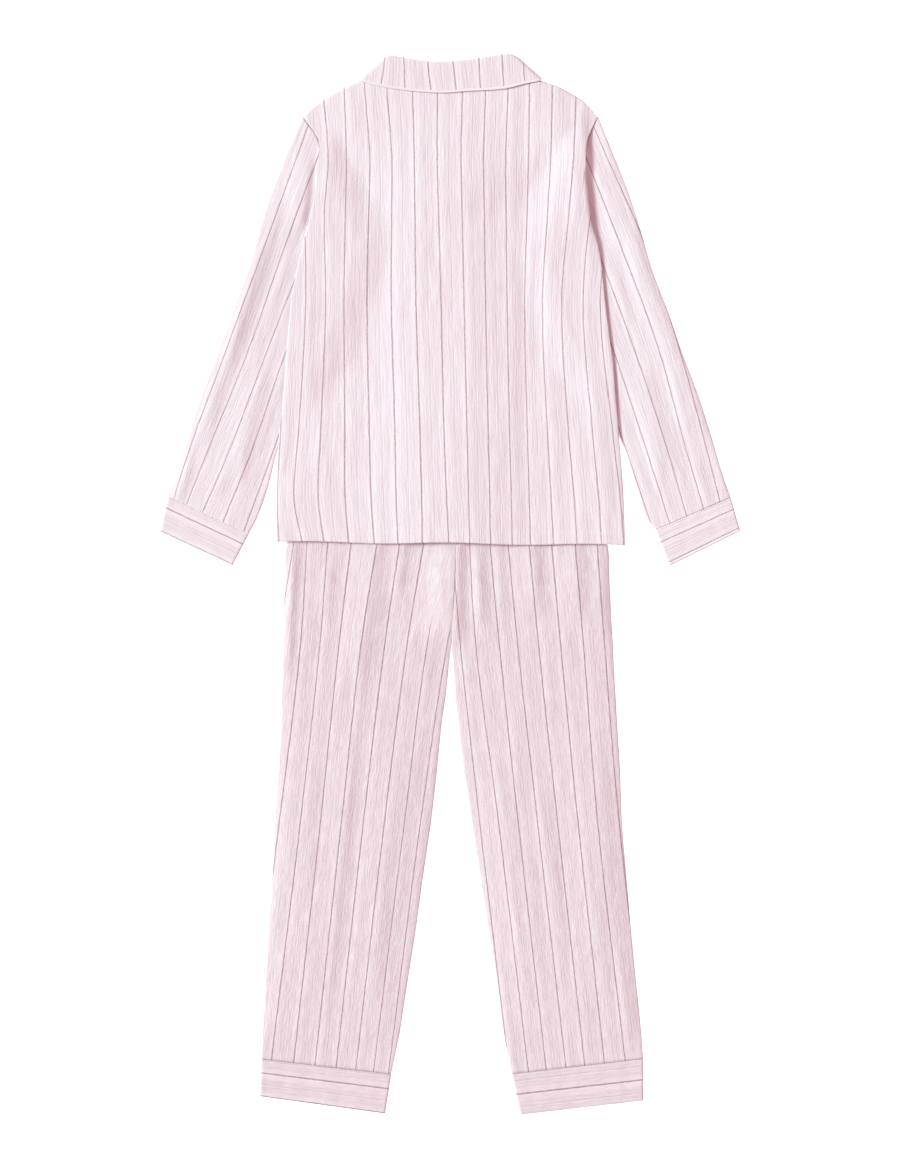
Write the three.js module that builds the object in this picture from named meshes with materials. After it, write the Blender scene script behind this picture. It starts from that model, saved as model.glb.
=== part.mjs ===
// A pyjama set laid face down on a flat surface: a buttoned shirt with a fallen collar, over trousers.
// Millimetres, +Z up, +Y towards the collar. The origin is on the surface, under the middle of the outline.
// Every piece is a wall of cloth round a middle surface, and its layers lie on each other as laid out.

import * as THREE from 'three';

const { clamp, degToRad, lerp, smoothstep } = THREE.MathUtils;

// Cloth
const CLOTH = 1.2; // wall of one layer
const DOUBLE = 1.8; // wall of a collar, a cuff or a waistband, sewn from two layers
const SEAM_GAP = 0.3; // between pieces that are sewn to each other
const BAND_GAP = 0.5; // from the middle line of a seam to the first section of the band sewn to it
const EDGE_GAP = 1.08; // between the middles of two turned edges, which leaves their walls a seam's gap apart
const LAYER_STEP = 2.1; // from the middle of one layer to the middle of the layer on it
const BAND_STEP = 2.6; // the same for a double band
const TURN = 1.3; // how far the middle of a turned edge rounds out
const TURN_ANGLES = [45, 90, 135].map(degToRad); // points round a whole turn
const HALF_TURN_ANGLES = [90, 45].map(degToRad); // points of the half that one sewn edge takes
const SLEEVE_HEIGHT = CLOTH + LAYER_STEP; // a sleeve or a leg, lying flat and with no folds

// Shirt
const OVERLAP = 17; // how far each front passes the middle
const FACING = 42; // width of the stiffer strip along each front edge
const OVERLAP_STEP = 2.4; // how much the left front rises over the right one there
const BREAK_Y = 580; // where the roll of the lapels starts
const BREAK_X = 10; // how far past the middle it starts
const BREAK_EASE = 60; // length over which the front edge bends towards it
const NECK = { x: 92, y: 741 }; // where the roll ends, at the side of the neck
const HEM = { left: 61, right: 56, wave: 1.2, waves: 2.5 };
const BACK_STEPS = 20; // columns across the back
const FRONT_STEPS = 9; // columns across a front
const LAPEL_STEPS = 3; // columns across a lapel

// Buttons, down the middle of the fronts and against the surface
const BUTTON = { diameter: 11.5, thick: 2.2, dish: 0.5, rim: 1.4, sides: 16 };
const BUTTON_ROWS = [528, 415, 302, 188];

// Side edges of the shirt's body as they show, from the hem to the tips of the shoulders
const bodyEdge = [
  { y: 56, left: -252, right: 254 },
  { y: 136, left: -251.5, right: 251 },
  { y: 202, left: -249, right: 246 },
  { y: 267, left: -242, right: 240.5 },
  { y: 310, left: -239, right: 237.5 },
  { y: 384, left: -233, right: 228 },
  { y: 426, left: -228, right: 223.5 },
  { y: 467, left: -219, right: 219 },
  { y: 497, left: -212, right: 213 },
  { y: 519, left: -206, right: 206 },
  { y: 571, left: -196, right: 199.5 },
  { y: 600, left: -193, right: 196.5 },
  { y: 642, left: -190, right: 199 },
  { y: 676, left: -212, right: 213.5 },
];

// Top edge of the body: the shoulders, and the back of the neck between them
const topEdge = [
  { x: -212, y: 676 },
  { x: -204.5, y: 684 },
  { x: -196, y: 693 },
  { x: -183, y: 702 },
  { x: -170, y: 710.5 },
  { x: -154, y: 718 },
  { x: -136, y: 725 },
  { x: -118, y: 731.5 },
  { x: -96, y: 740 },
  { x: -86, y: 737 },
  { x: -66, y: 731.5 },
  { x: -35, y: 728 },
  { x: 0, y: 727 },
  { x: 35, y: 728 },
  { x: 66, y: 731.5 },
  { x: 86, y: 737 },
  { x: 96, y: 740 },
  { x: 118, y: 731.5 },
  { x: 137, y: 726 },
  { x: 159.5, y: 718.5 },
  { x: 174, y: 710.5 },
  { x: 190, y: 702 },
  { x: 200, y: 693 },
  { x: 209, y: 684 },
  { x: 213.5, y: 676 },
];

// Sections of the fronts: height at the side edge, height at the front edge, and how far the lapel turns back
const frontRows = [
  { side: 58, edge: 58 },
  { side: 100, edge: 100 },
  { side: 145, edge: 145 },
  { side: 188, edge: 188 },
  { side: 215, edge: 215 },
  { side: 242, edge: 242 },
  { side: 270, edge: 270 },
  { side: 302, edge: 302 },
  { side: 340, edge: 340 },
  { side: 378, edge: 378 },
  { side: 415, edge: 415 },
  { side: 455, edge: 455 },
  { side: 497, edge: 497 },
  { side: 524, edge: 528 },
  { side: 550, edge: 560 },
  { side: 571, edge: 582 },
  { side: 586, edge: 612, lapel: 14 },
  { side: 600, edge: 640, lapel: 50 },
  { side: 621, edge: 668.5, lapel: 72 },
  { side: 632, edge: 676.5, lapel: 42 },
  { side: 642, edge: 686.3, lapel: 5 },
  { side: 660, edge: 713 },
];

// Heights of the sections of the back, at its side edges
const backRows = [
  58, 100, 145, 188, 215, 242, 270, 302, 340, 378, 415, 455, 497, 524, 550, 571, 600, 621, 642, 660,
];

// The roll of the collar and the lower edge of its fall, from the left neck to the right one
const collarRows = [
  { rollX: -86.6, rollY: 763.5, fallX: -129, fallY: 727.5 },
  { rollX: -62, rollY: 760, fallX: -102, fallY: 720.5 },
  { rollX: -33, rollY: 755, fallX: -64, fallY: 714.5 },
  { rollX: -5, rollY: 754.5, fallX: -14, fallY: 711 },
  { rollX: 22, rollY: 757, fallX: 27, fallY: 713.5 },
  { rollX: 50, rollY: 761, fallX: 76, fallY: 716.5 },
  { rollX: 72, rollY: 765, fallX: 106, fallY: 723.5 },
  { rollX: 85, rollY: 765.5, fallX: 130, fallY: 728.5 },
];
const COLLAR_TURN = 4.2; // how far the collar rounds out at the sides of the neck
const COLLAR_WIDTHS = [1, 0.72, 0.45, 0.22, 0]; // lines along the fall, from its edge to the roll
// Front end of each collar leaf, on the underside: share of the fall's width, and place
const leafEnd = [
  { share: 0, x: 57.5, y: 688.5 },
  { share: 0.45, x: 87, y: 656.6 },
  { share: 1, x: 121, y: 665 },
];

// Sections of the sleeves: outer edge and inner edge, from the armhole to the seam of the cuff
const leftSleeveRows = [
  { outerX: -235, outerY: 629, innerX: -158, innerY: 455 },
  { outerX: -258, outerY: 571, innerX: -170, innerY: 425 },
  { outerX: -277, outerY: 513, innerX: -184, innerY: 388 },
  { outerX: -294, outerY: 455, innerX: -200, innerY: 345 },
  { outerX: -316, outerY: 397, innerX: -216, innerY: 297 },
  { outerX: -336, outerY: 339, innerX: -232, innerY: 245 },
  { outerX: -358, outerY: 281, innerX: -250, innerY: 194 },
  { outerX: -377, outerY: 223, innerX: -265, innerY: 136 },
  { outerX: -394, outerY: 165, innerX: -279, innerY: 97 },
  { outerX: -409, outerY: 128, innerX: -291.5, innerY: 72.5 },
];
const rightSleeveRows = [
  { outerX: 234, outerY: 629, innerX: 158, innerY: 455 },
  { outerX: 257, outerY: 571, innerX: 170, innerY: 425 },
  { outerX: 276, outerY: 513, innerX: 184, innerY: 388 },
  { outerX: 293, outerY: 455, innerX: 200, innerY: 345 },
  { outerX: 315, outerY: 397, innerX: 216, innerY: 297 },
  { outerX: 335, outerY: 339, innerX: 233, innerY: 245 },
  { outerX: 357, outerY: 281, innerX: 253, innerY: 194 },
  { outerX: 376, outerY: 223, innerX: 271, innerY: 136 },
  { outerX: 393, outerY: 165, innerX: 283, innerY: 98 },
  { outerX: 407, outerY: 125, innerX: 297, innerY: 78 },
];
// Armholes, from the underarm to where each meets the side of the body
const leftUnderarm = [
  { x: -150, y: 480 },
  { x: -166, y: 520 },
  { x: -181, y: 562 },
];
const rightUnderarm = leftUnderarm.map(({ x, y }) => ({ x: -x, y }));
const ARMHOLE_SEAM = [600, 621, 642, 659, 676]; // heights of the armhole's points beside the body
const ARM_TOP_SHARES = 8; // points across the top of a sleeve
const sleeveCuffs = {
  left: { outerX: -420.5, outerY: 76.5, innerX: -315, innerY: 27.5 },
  right: { outerX: 420.5, outerY: 77, innerX: 317.6, innerY: 26 },
};

// Sections of the trouser legs, from the waist seam to the seam of the leg cuffs
const legRows = [
  { y: 168, leftOuter: -172, leftInner: 9, rightInner: 9, rightOuter: 178 },
  { y: 140, leftOuter: -196, leftInner: 9.5, rightInner: 9.5, rightOuter: 196 },
  { y: 105, leftOuter: -220, leftInner: 10, rightInner: 10, rightOuter: 215 },
  { y: 54, leftOuter: -238, leftInner: 9, rightInner: 9, rightOuter: 229 },
  { y: 10, leftOuter: -239.5, leftInner: 7, rightInner: 7, rightOuter: 231 },
  { y: -30, leftOuter: -241, leftInner: 5, rightInner: 5, rightOuter: 233 },
  { y: -70, leftOuter: -242, leftInner: 3, rightInner: 3, rightOuter: 235 },
  { y: -102, leftOuter: -243, leftInner: 1.1, rightInner: 1.9, rightOuter: 236.5 },
  { y: -110, leftOuter: -243.2, leftInner: 0, rightInner: 3, rightOuter: 237 },
  { y: -161, leftOuter: -244.3, leftInner: -6, rightInner: 7, rightOuter: 240 },
  { y: -197, leftOuter: -245, leftInner: -11.6, rightInner: 11.6, rightOuter: 242 },
  { y: -270, leftOuter: -249, leftInner: -19, rightInner: 20, rightOuter: 246.5 },
  { y: -342, leftOuter: -254, leftInner: -27.6, rightInner: 32, rightOuter: 249 },
  { y: -415, leftOuter: -257, leftInner: -39, rightInner: 43.5, rightOuter: 255 },
  { y: -487, leftOuter: -262.5, leftInner: -49, rightInner: 55, rightOuter: 261 },
  { y: -560, leftOuter: -267, leftInner: -61, rightInner: 67, rightOuter: 268 },
  { y: -632, leftOuter: -271, leftInner: -72.5, rightInner: 77, rightOuter: 275.5 },
  { y: -688, leftOuter: -274, leftInner: -85, rightInner: 89, rightOuter: 280 },
];
const CROTCH_Y = -105;
const LEG_SEAM_DROP = 22; // how much lower the inseam ends than the outside of the leg
const LEG_TOP_POINTS = 13;
const LEG_UNDER_POINTS = 6;
const legCuffs = {
  left: { outerX: -275.5, outerY: -742, innerX: -94, innerY: -767 },
  right: { outerX: 280, outerY: -748, innerX: 101.5, innerY: -768.5 },
};
const WAISTBAND = { left: -172, right: 178, bottom: 168.2, top: 200, points: 9 };

// Largest folds of the top layers: a ridge from one end to the other, its half width and its height
const backFolds = [
  { x1: -203, y1: 440, x2: -214, y2: 240, half: 16, height: 2.4 },
  { x1: -118, y1: 570, x2: -150, y2: 110, half: 22, height: 1.6 },
  { x1: -52, y1: 610, x2: -60, y2: 80, half: 20, height: 1.4 },
  { x1: 30, y1: 640, x2: 24, y2: 80, half: 16, height: 1.0 },
  { x1: 92, y1: 620, x2: 84, y2: 120, half: 16, height: 2.2 },
  { x1: 150, y1: 570, x2: 150, y2: 90, half: 18, height: 2.4 },
  { x1: 212, y1: 340, x2: 226, y2: 80, half: 14, height: 1.8 },
];
const leftSleeveFolds = [
  { x1: -232, y1: 610, x2: -330, y2: 300, half: 14, height: 2.2 },
  { x1: -262, y1: 525, x2: -372, y2: 180, half: 12, height: 1.6 },
  { x1: -264, y1: 330, x2: -318, y2: 130, half: 14, height: 1.8 },
];
const rightSleeveFolds = [
  { x1: 219, y1: 630, x2: 232, y2: 490, half: 9, height: 2.6 },
  { x1: 240, y1: 590, x2: 330, y2: 300, half: 14, height: 2.0 },
  { x1: 300, y1: 430, x2: 375, y2: 180, half: 12, height: 1.6 },
  { x1: 266, y1: 330, x2: 326, y2: 130, half: 14, height: 1.6 },
];
const trouserFolds = [
  { x1: -198, y1: 120, x2: -214, y2: -190, half: 11, height: 2.0 },
  { x1: -112, y1: 130, x2: -142, y2: -170, half: 15, height: 2.3 },
  { x1: -66, y1: 120, x2: -84, y2: -90, half: 10, height: 1.8 },
  { x1: -32, y1: 110, x2: -40, y2: -70, half: 10, height: 1.2 },
  { x1: 0, y1: 130, x2: 0, y2: -100, half: 11, height: 2.4 },
  { x1: 29, y1: 120, x2: 24, y2: -60, half: 7, height: 1.5 },
  { x1: 62, y1: 130, x2: 58, y2: -70, half: 10, height: 1.7 },
  { x1: 98, y1: 110, x2: 98, y2: -50, half: 13, height: 1.4 },
  { x1: 156, y1: 120, x2: 158, y2: -70, half: 17, height: 1.7 },
  { x1: 206, y1: 100, x2: 216, y2: -100, half: 10, height: 1.4 },
  { x1: -64, y1: -220, x2: -128, y2: -620, half: 20, height: 1.5 },
  { x1: -196, y1: -210, x2: -220, y2: -650, half: 18, height: 1.3 },
  { x1: -146, y1: -280, x2: -170, y2: -580, half: 15, height: 1.0 },
  { x1: 66, y1: -220, x2: 130, y2: -620, half: 20, height: 1.5 },
  { x1: 192, y1: -200, x2: 226, y2: -640, half: 18, height: 1.3 },
  { x1: 134, y1: -300, x2: 166, y2: -590, half: 15, height: 1.1 },
];

// What lies under the shirt and lifts it: an outline, a height, and how far past the outline the cloth
// takes to come down again, for the fronts and for the back
const OVER_SLEEVE = SLEEVE_HEIGHT + 1.1;
const OVER_TROUSERS = SLEEVE_HEIGHT + 2.2;
const OVER_COLLAR = DOUBLE + SEAM_GAP;
const sleeveUnderBody = [
  [-300, 612], [-188, 612], [-140, 490], [-168, 400], [-203, 300], [-240, 180], [-300, 150],
];
const supports = [
  { outline: sleeveUnderBody, height: OVER_SLEEVE, shelf: 2, front: 48, back: 56 },
  { outline: sleeveUnderBody.map(([x, y]) => [-x, y]), height: OVER_SLEEVE, shelf: 2, front: 48, back: 56 },
  {
    outline: [
      [-240, 0], [-238, 54], [-222, 110], [-178, 168], [-178, 203],
      [184, 203], [184, 168], [216, 110], [230, 54], [232, 0],
    ],
    height: OVER_TROUSERS,
    shelf: 10,
    front: 76,
    back: 120,
  },
  {
    outline: [
      [-90, 770], [-138, 728], [-126, 660], [-110, 626], [-14, 574],
      [14, 574], [110, 626], [126, 660], [138, 728], [90, 770],
    ],
    height: OVER_COLLAR,
    shelf: 4,
    front: 40,
    back: 60,
  },
];
const placket = {
  outline: [[-12, 144], [12, 144], [12, 540], [-12, 540]],
  height: BUTTON.thick + SEAM_GAP,
  shelf: 6,
  front: 40,
  back: 130,
};
const frontOverlap = {
  outline: [[-OVERLAP, 40], [OVERLAP, 40], [OVERLAP, 602], [-OVERLAP, 602]],
  height: OVERLAP_STEP,
  shelf: 8,
  front: 30,
  back: 110,
};

// Reads a named column of a table at a value of another column, straight between its rows
function lookup(table, by, value, name) {
  const next = table.findIndex((row) => row[by] >= value);
  if (next === 0) return table[0][name];
  if (next < 0) return table.at(-1)[name];
  const [below, above] = [table[next - 1], table[next]];
  return lerp(below[name], above[name], (value - below[by]) / (above[by] - below[by]));
}

// Distance from a point to a closed outline that it lies outside of, and 0 inside it
function distanceOutside(outline, x, y) {
  let inside = false;
  let nearest = Infinity;
  outline.forEach(([ax, ay], index) => {
    const [bx, by] = outline[(index + 1) % outline.length];
    const length = (bx - ax) ** 2 + (by - ay) ** 2;
    const share = clamp(((x - ax) * (bx - ax) + (y - ay) * (by - ay)) / length, 0, 1);
    nearest = Math.min(nearest, Math.hypot(x - lerp(ax, bx, share), y - lerp(ay, by, share)));
    if (ay > y !== by > y && x < ax + ((bx - ax) * (y - ay)) / (by - ay)) inside = !inside;
  });
  return inside ? 0 : nearest;
}

// How much one support lifts the layer at a point
function rise(support, layer, x, y) {
  const away = distanceOutside(support.outline, x, y);
  return support.height * (1 - smoothstep(away, support.shelf, support.shelf + support[layer]));
}

// The lift of everything under the shirt but its own buttons: a soft maximum, never less than the largest
function lift(layer, x, y) {
  const sum = supports.reduce((total, support) => total + rise(support, layer, x, y) ** 4, 0);
  return sum ** 0.25;
}

// Height of a table of ridges at a point: each is a soft bump across and fades out towards its ends
function foldHeight(folds, x, y) {
  let height = 0;
  for (const fold of folds) {
    const [dx, dy] = [fold.x2 - fold.x1, fold.y2 - fold.y1];
    const length = Math.hypot(dx, dy);
    const along = ((x - fold.x1) * dx + (y - fold.y1) * dy) / length;
    const across = ((x - fold.x1) * dy - (y - fold.y1) * dx) / length;
    const fade = smoothstep(along, 0, length * 0.3) * smoothstep(length - along, 0, length * 0.3);
    height += fold.height * fade * Math.exp(-((across / fold.half) ** 2));
  }
  return height;
}

// Middle surfaces of the shirt's body
const rightFrontHeight = (x, y) => CLOTH / 2 + lift('front', x, y) + rise(placket, 'front', x, y);
const leftFrontHeight = (x, y) => rightFrontHeight(x, y) + rise(frontOverlap, 'front', x, y);
function backHeight(x, y) {
  const carried = lift('back', x, y) + rise(placket, 'back', x, y) + rise(frontOverlap, 'back', x, y);
  return CLOTH / 2 + carried + LAYER_STEP + foldHeight(backFolds, x, y);
}

// Closes a grid of middle points into a wall. A null in the grid is a place with no cloth, and a ring
// joins its last column to its first.
function wallGeometry(grid, thickness, ring = false) {
  const width = grid[0].length;
  const index = (r, c) => r * width + (c % width);
  const point = (r, c) => grid[r][c % width];
  const triangles = [];
  const lastColumn = ring ? width : width - 1;
  for (let r = 0; r + 1 < grid.length; r += 1) {
    for (let c = 0; c < lastColumn; c += 1) {
      const corners = [[r, c], [r, c + 1], [r + 1, c + 1], [r + 1, c]];
      if (!corners.every(([i, j]) => point(i, j))) continue;
      const [a, b, d, e] = corners.map(([i, j]) => index(i, j));
      triangles.push([a, b, d], [a, d, e]);
    }
  }

  const flat = grid.flat();
  const faceNormals = triangles.map((corners) => {
    const [a, b, c] = corners.map((corner) => flat[corner]);
    return new THREE.Triangle(a, b, c).getNormal(new THREE.Vector3());
  });
  const normals = flat.map(() => new THREE.Vector3());
  triangles.forEach((triangle, face) => triangle.forEach((corner) => normals[corner].add(faceNormals[face])));
  normals.forEach((normal) => normal.normalize());
  // At a bend the offset grows, so that the wall keeps its thickness there
  const leastCosine = flat.map(() => 1);
  triangles.forEach((triangle, face) => triangle.forEach((corner) => {
    leastCosine[corner] = Math.min(leastCosine[corner], normals[corner].dot(faceNormals[face]));
  }));

  const positions = [];
  const outer = new Map();
  const used = [...new Set(triangles.flat())];
  used.forEach((corner, order) => {
    outer.set(corner, order * 2);
    const reach = thickness / 2 / Math.max(leastCosine[corner], 0.85);
    for (const side of [reach, -reach]) {
      const { x, y, z } = flat[corner].clone().addScaledVector(normals[corner], side);
      positions.push(x, y, Math.max(z, 0));
    }
  });

  const faces = [];
  const edges = new Set();
  for (const [a, b, c] of triangles) {
    faces.push(outer.get(a), outer.get(b), outer.get(c));
    faces.push(outer.get(a) + 1, outer.get(c) + 1, outer.get(b) + 1);
    for (const [from, to] of [[a, b], [b, c], [c, a]]) edges.add(`${from} ${to}`);
  }
  for (const edge of edges) {
    const [from, to] = edge.split(' ').map(Number);
    if (edges.has(`${to} ${from}`)) continue;
    const [f, t] = [outer.get(from), outer.get(to)];
    faces.push(t, f, f + 1, t, f + 1, t + 1);
  }
  const geometry = new THREE.BufferGeometry();
  geometry.setAttribute('position', new THREE.Float32BufferAttribute(positions, 3));
  geometry.setIndex(faces);
  return geometry;
}

function piece(name, geometry, look) {
  const mesh = new THREE.Mesh(geometry, new THREE.MeshStandardMaterial(look));
  mesh.name = name;
  return mesh;
}

const clothLook = { color: '#f2e5ea', roughness: 0.85, metalness: 0 };
const bandLook = { color: '#ecdce2', roughness: 0.85, metalness: 0 };
const buttonLook = { color: '#efe6e4', roughness: 0.35, metalness: 0 };

// Where a sewn or turned edge has its points: distance in from the outline, and how far each drops from
// its flat layer towards the other one, as a share. With no curl the points stay flat.
function turnedEdge(curl) {
  return HALF_TURN_ANGLES.concat(0).map((angle) => ({
    inset: (curl * CLOTH) / 2 + TURN * (1 - Math.sin(angle)),
    drop: curl * (1 - Math.cos(angle)),
  }));
}
const sideCurl = (y) => 1 - smoothstep(y, 585, 605);
const topCurl = (x) => smoothstep(Math.abs(x), 98, 112) * (1 - smoothstep(Math.abs(x), 194, 206));
const dropPerShare = (lower, upper) => (upper - lower) / 2 - EDGE_GAP / 2;

// Rows of the body's panels: every listed row, then the turned top edge
function bodyRowList(rows) {
  const turns = [2, 1, 0];
  return [...rows.map((row) => ({ ...row, turn: null })), ...turns.map((turn) => ({ turn }))];
}

function hemAt(x) {
  const share = (x - bodyEdge[0].left) / (bodyEdge[0].right - bodyEdge[0].left);
  return lerp(HEM.left, HEM.right, share) + HEM.wave * Math.sin(share * HEM.waves * Math.PI * 2);
}

// Moves the lowest row of a panel onto the hem
const onHem = (x, y) => (y === backRows[0] ? hemAt(x) : y);

function shirtBack() {
  const rows = bodyRowList(backRows.map((side) => ({ side })));
  const tip = bodyEdge.at(-1);
  const inner = BACK_STEPS;
  const grid = rows.map(({ side = tip.y, turn }) => {
    const cornerY = turn === null ? side : tip.y - turnedEdge(1)[turn].inset;
    const [left, right] = ['left', 'right'].map((edge) => lookup(bodyEdge, 'y', cornerY, edge));
    const curl = turn === null ? sideCurl(side) : 0;
    const ends = turnedEdge(curl);
    const places = [];
    ends.forEach(({ inset, drop }) => places.push({ x: left + inset, drop, share: 0 }));
    for (let i = 1; i < inner; i += 1) {
      const x = lerp(left + ends[2].inset, right - ends[2].inset, i / inner);
      places.push({ x, drop: 0, share: i / inner });
    }
    [...ends].reverse().forEach(({ inset, drop }) => places.push({ x: right - inset, drop, share: 1 }));
    const climb = smoothstep(side, 450, tip.y);
    return places.map(({ x, drop, share }) => {
      const topX = lerp(tip.left, tip.right, share);
      const topY = lookup(topEdge, 'x', topX, 'y');
      const topTurn = turn === null ? { inset: 0, drop: 0 } : turnedEdge(topCurl(topX))[turn];
      const y = onHem(x, side) + (topY - tip.y) * climb - topTurn.inset;
      const upper = backHeight(x, y);
      const lower = x < 0 ? leftFrontHeight(x, y) : rightFrontHeight(x, y);
      return new THREE.Vector3(x, y, upper - dropPerShare(lower, upper) * Math.max(drop, topTurn.drop));
    });
  });
  return piece('shirt_back', wallGeometry(grid, CLOTH), clothLook);
}

// One front, made as the left one with x counted outwards, then placed on its own side. The lapel is the
// same cloth, turned under along the roll.
function shirtFront(side) {
  const sign = side === 'left' ? -1 : 1;
  const height = side === 'left' ? leftFrontHeight : rightFrontHeight;
  const tip = bodyEdge.at(-1);
  const roll = new THREE.Vector2(NECK.x + BREAK_X, NECK.y - BREAK_Y).normalize();
  const outward = new THREE.Vector2(roll.y, -roll.x);
  const rollX = (y) => {
    if (y < BREAK_Y) return -lerp(OVERLAP, BREAK_X, smoothstep(y, BREAK_Y - BREAK_EASE, BREAK_Y));
    return lerp(-BREAK_X, NECK.x, (y - BREAK_Y) / (NECK.y - BREAK_Y));
  };
  const inner = FRONT_STEPS;
  const neckTop = lookup(topEdge, 'x', sign * NECK.x, 'y');
  const grid = bodyRowList(frontRows).map(({ side: sideY = tip.y, edge = NECK.y, lapel, turn }) => {
    const cornerY = turn === null ? sideY : tip.y - turnedEdge(1)[turn].inset;
    const outerEdge = sign * lookup(bodyEdge, 'y', cornerY, side);
    const curl = turn === null ? sideCurl(sideY) : 0;
    const ends = turnedEdge(curl);
    const frontEdge = rollX(edge);
    const places = ends.map(({ inset, drop }) => ({ a: outerEdge - inset, drop, share: 0 }));
    const whole = outerEdge - frontEdge;
    for (let i = 1; i < inner; i += 1) {
      const a = lerp(outerEdge - ends[2].inset, frontEdge + FACING, i / (inner - 1));
      places.push({ a, drop: 0, share: (outerEdge - a) / whole });
    }
    places.push({ a: frontEdge, drop: 0, share: 1 });
    const points = places.map(({ a, drop, share }) => {
      const topX = sign * lerp(sign * tip[side], NECK.x, share);
      const topY = lookup(topEdge, 'x', topX, 'y');
      const profile = (topY - tip.y) / (neckTop - tip.y);
      const topTurn = turn === null ? { inset: 0, drop: 0 } : turnedEdge(topCurl(topX))[turn];
      const y = onHem(sign * a, lerp(sideY, edge, profile)) - topTurn.inset;
      const lower = height(sign * a, y);
      const upper = backHeight(sign * a, y);
      const z = lower + dropPerShare(lower, upper) * Math.max(drop, topTurn.drop);
      return new THREE.Vector3(sign * a, y, z);
    });
    const rolled = points.at(-1);
    const half = (rolled.z - CLOTH / 2) / 2;
    TURN_ANGLES.forEach((angle) => {
      const reach = TURN * Math.sin(angle);
      points.push(lapel && new THREE.Vector3(
        rolled.x - sign * outward.x * reach,
        rolled.y - outward.y * reach,
        rolled.z - half * (1 - Math.cos(angle)),
      ));
    });
    for (let i = 0; i <= LAPEL_STEPS; i += 1) {
      const reach = (lapel * i) / LAPEL_STEPS;
      const [x, y] = [rolled.x + sign * outward.x * reach, rolled.y + outward.y * reach];
      points.push(lapel && new THREE.Vector3(x, y, CLOTH / 2));
    }
    return points;
  });
  return piece(`shirt_front_${side}`, wallGeometry(grid, CLOTH), clothLook);
}

// The collar: a stand at the back of the neck, the roll, the fall that lies on the back, and a leaf on
// each side, which the fall becomes where it turns round the side of the neck to the underside.
function shirtCollar() {
  const leafZ = DOUBLE / 2;
  const standZ = backHeight(0, NECK.y - 12);
  const rollZ = standZ + BAND_STEP;
  const fallZ = (share, x, y) => {
    const resting = backHeight(x, y) + CLOTH / 2 + SEAM_GAP + DOUBLE / 2;
    return lerp(rollZ, resting, smoothstep(share, 0, 0.8));
  };
  const across = (row, share) => [lerp(row.rollX, row.fallX, share), lerp(row.rollY, row.fallY, share)];
  const sideColumn = (row, sign, share) => {
    const [x, y] = across(row, share);
    const along = new THREE.Vector2(row.fallX - row.rollX, row.fallY - row.rollY).normalize();
    const out = new THREE.Vector2(-along.y * sign, along.x * sign);
    const top = fallZ(share, x, y);
    const turn = [0, ...TURN_ANGLES, Math.PI].map((angle) => new THREE.Vector3(
      x + out.x * COLLAR_TURN * Math.sin(angle),
      y + out.y * COLLAR_TURN * Math.sin(angle),
      lerp(leafZ, top, (1 + Math.cos(angle)) / 2),
    ));
    const end = { x: sign * lookup(leafEnd, 'share', share, 'x'), y: lookup(leafEnd, 'share', share, 'y') };
    [0.5, 1].forEach((part) => {
      turn.push(new THREE.Vector3(lerp(x, end.x, part), lerp(y, end.y, part), leafZ));
    });
    return turn;
  };
  const inside = collarRows.slice(1, -1);
  const grid = COLLAR_WIDTHS.map((share) => [
    ...sideColumn(collarRows[0], -1, share).reverse(),
    ...inside.map((row) => {
      const [x, y] = across(row, share);
      return new THREE.Vector3(x, y, fallZ(share, x, y));
    }),
    ...sideColumn(collarRows.at(-1), 1, share),
  ]);
  const sideLength = sideColumn(collarRows[0], -1, 0).length;
  const noCloth = Array(sideLength).fill(null);
  const standRow = (place) => grid.push([...noCloth, ...inside.map(place), ...noCloth]);
  TURN_ANGLES.forEach((angle) => standRow(({ rollX, rollY }) => new THREE.Vector3(
    rollX,
    rollY + TURN * Math.sin(angle),
    lerp(standZ, rollZ, (1 + Math.cos(angle)) / 2),
  )));
  standRow(({ rollX, rollY }) => new THREE.Vector3(rollX, rollY, standZ));
  standRow(({ rollX }) => new THREE.Vector3(rollX, lookup(topEdge, 'x', rollX, 'y') + SEAM_GAP * 2, standZ));
  return piece('shirt_collar', wallGeometry(grid, DOUBLE), bandLook);
}

// One section of a flattened tube, as a closed run of points: over the top from the inner edge to the
// outer one, round it, back below, and round the inner edge.
function tubeSection({ place, shares, thickness, step, upper = () => 0 }) {
  const start = place(0);
  const end = place(1);
  const across = new THREE.Vector2(end[0] - start[0], end[1] - start[1]).normalize();
  const lowZ = thickness / 2;
  const topPoint = ([x, y]) => new THREE.Vector3(x, y, lowZ + step + upper(x, y));
  const round = ([x, y], direction) => {
    const top = topPoint([x, y]).z;
    return TURN_ANGLES.map((angle) => new THREE.Vector3(
      x + direction * across.x * TURN * Math.sin(angle),
      y + direction * across.y * TURN * Math.sin(angle),
      lerp(lowZ, top, (1 + Math.cos(angle)) / 2),
    ));
  };
  const flat = shares.map(place);
  return [
    ...flat.map(topPoint),
    ...round(end, 1),
    ...[...flat].reverse().map(([x, y]) => new THREE.Vector3(x, y, lowZ)),
    ...round(start, -1).reverse(),
  ];
}

// Points across a row from its inner edge to its outer one, set in so that the wall ends on the outline
function rowPlace(row, thickness) {
  const width = Math.hypot(row.outerX - row.innerX, row.outerY - row.innerY);
  const inset = (TURN + thickness / 2) / width;
  return (share) => {
    const part = lerp(inset, 1 - inset, share);
    return [lerp(row.innerX, row.outerX, part), lerp(row.innerY, row.outerY, part)];
  };
}

const evenShares = (count) => Array.from({ length: count }, (_, i) => i / (count - 1));

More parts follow.
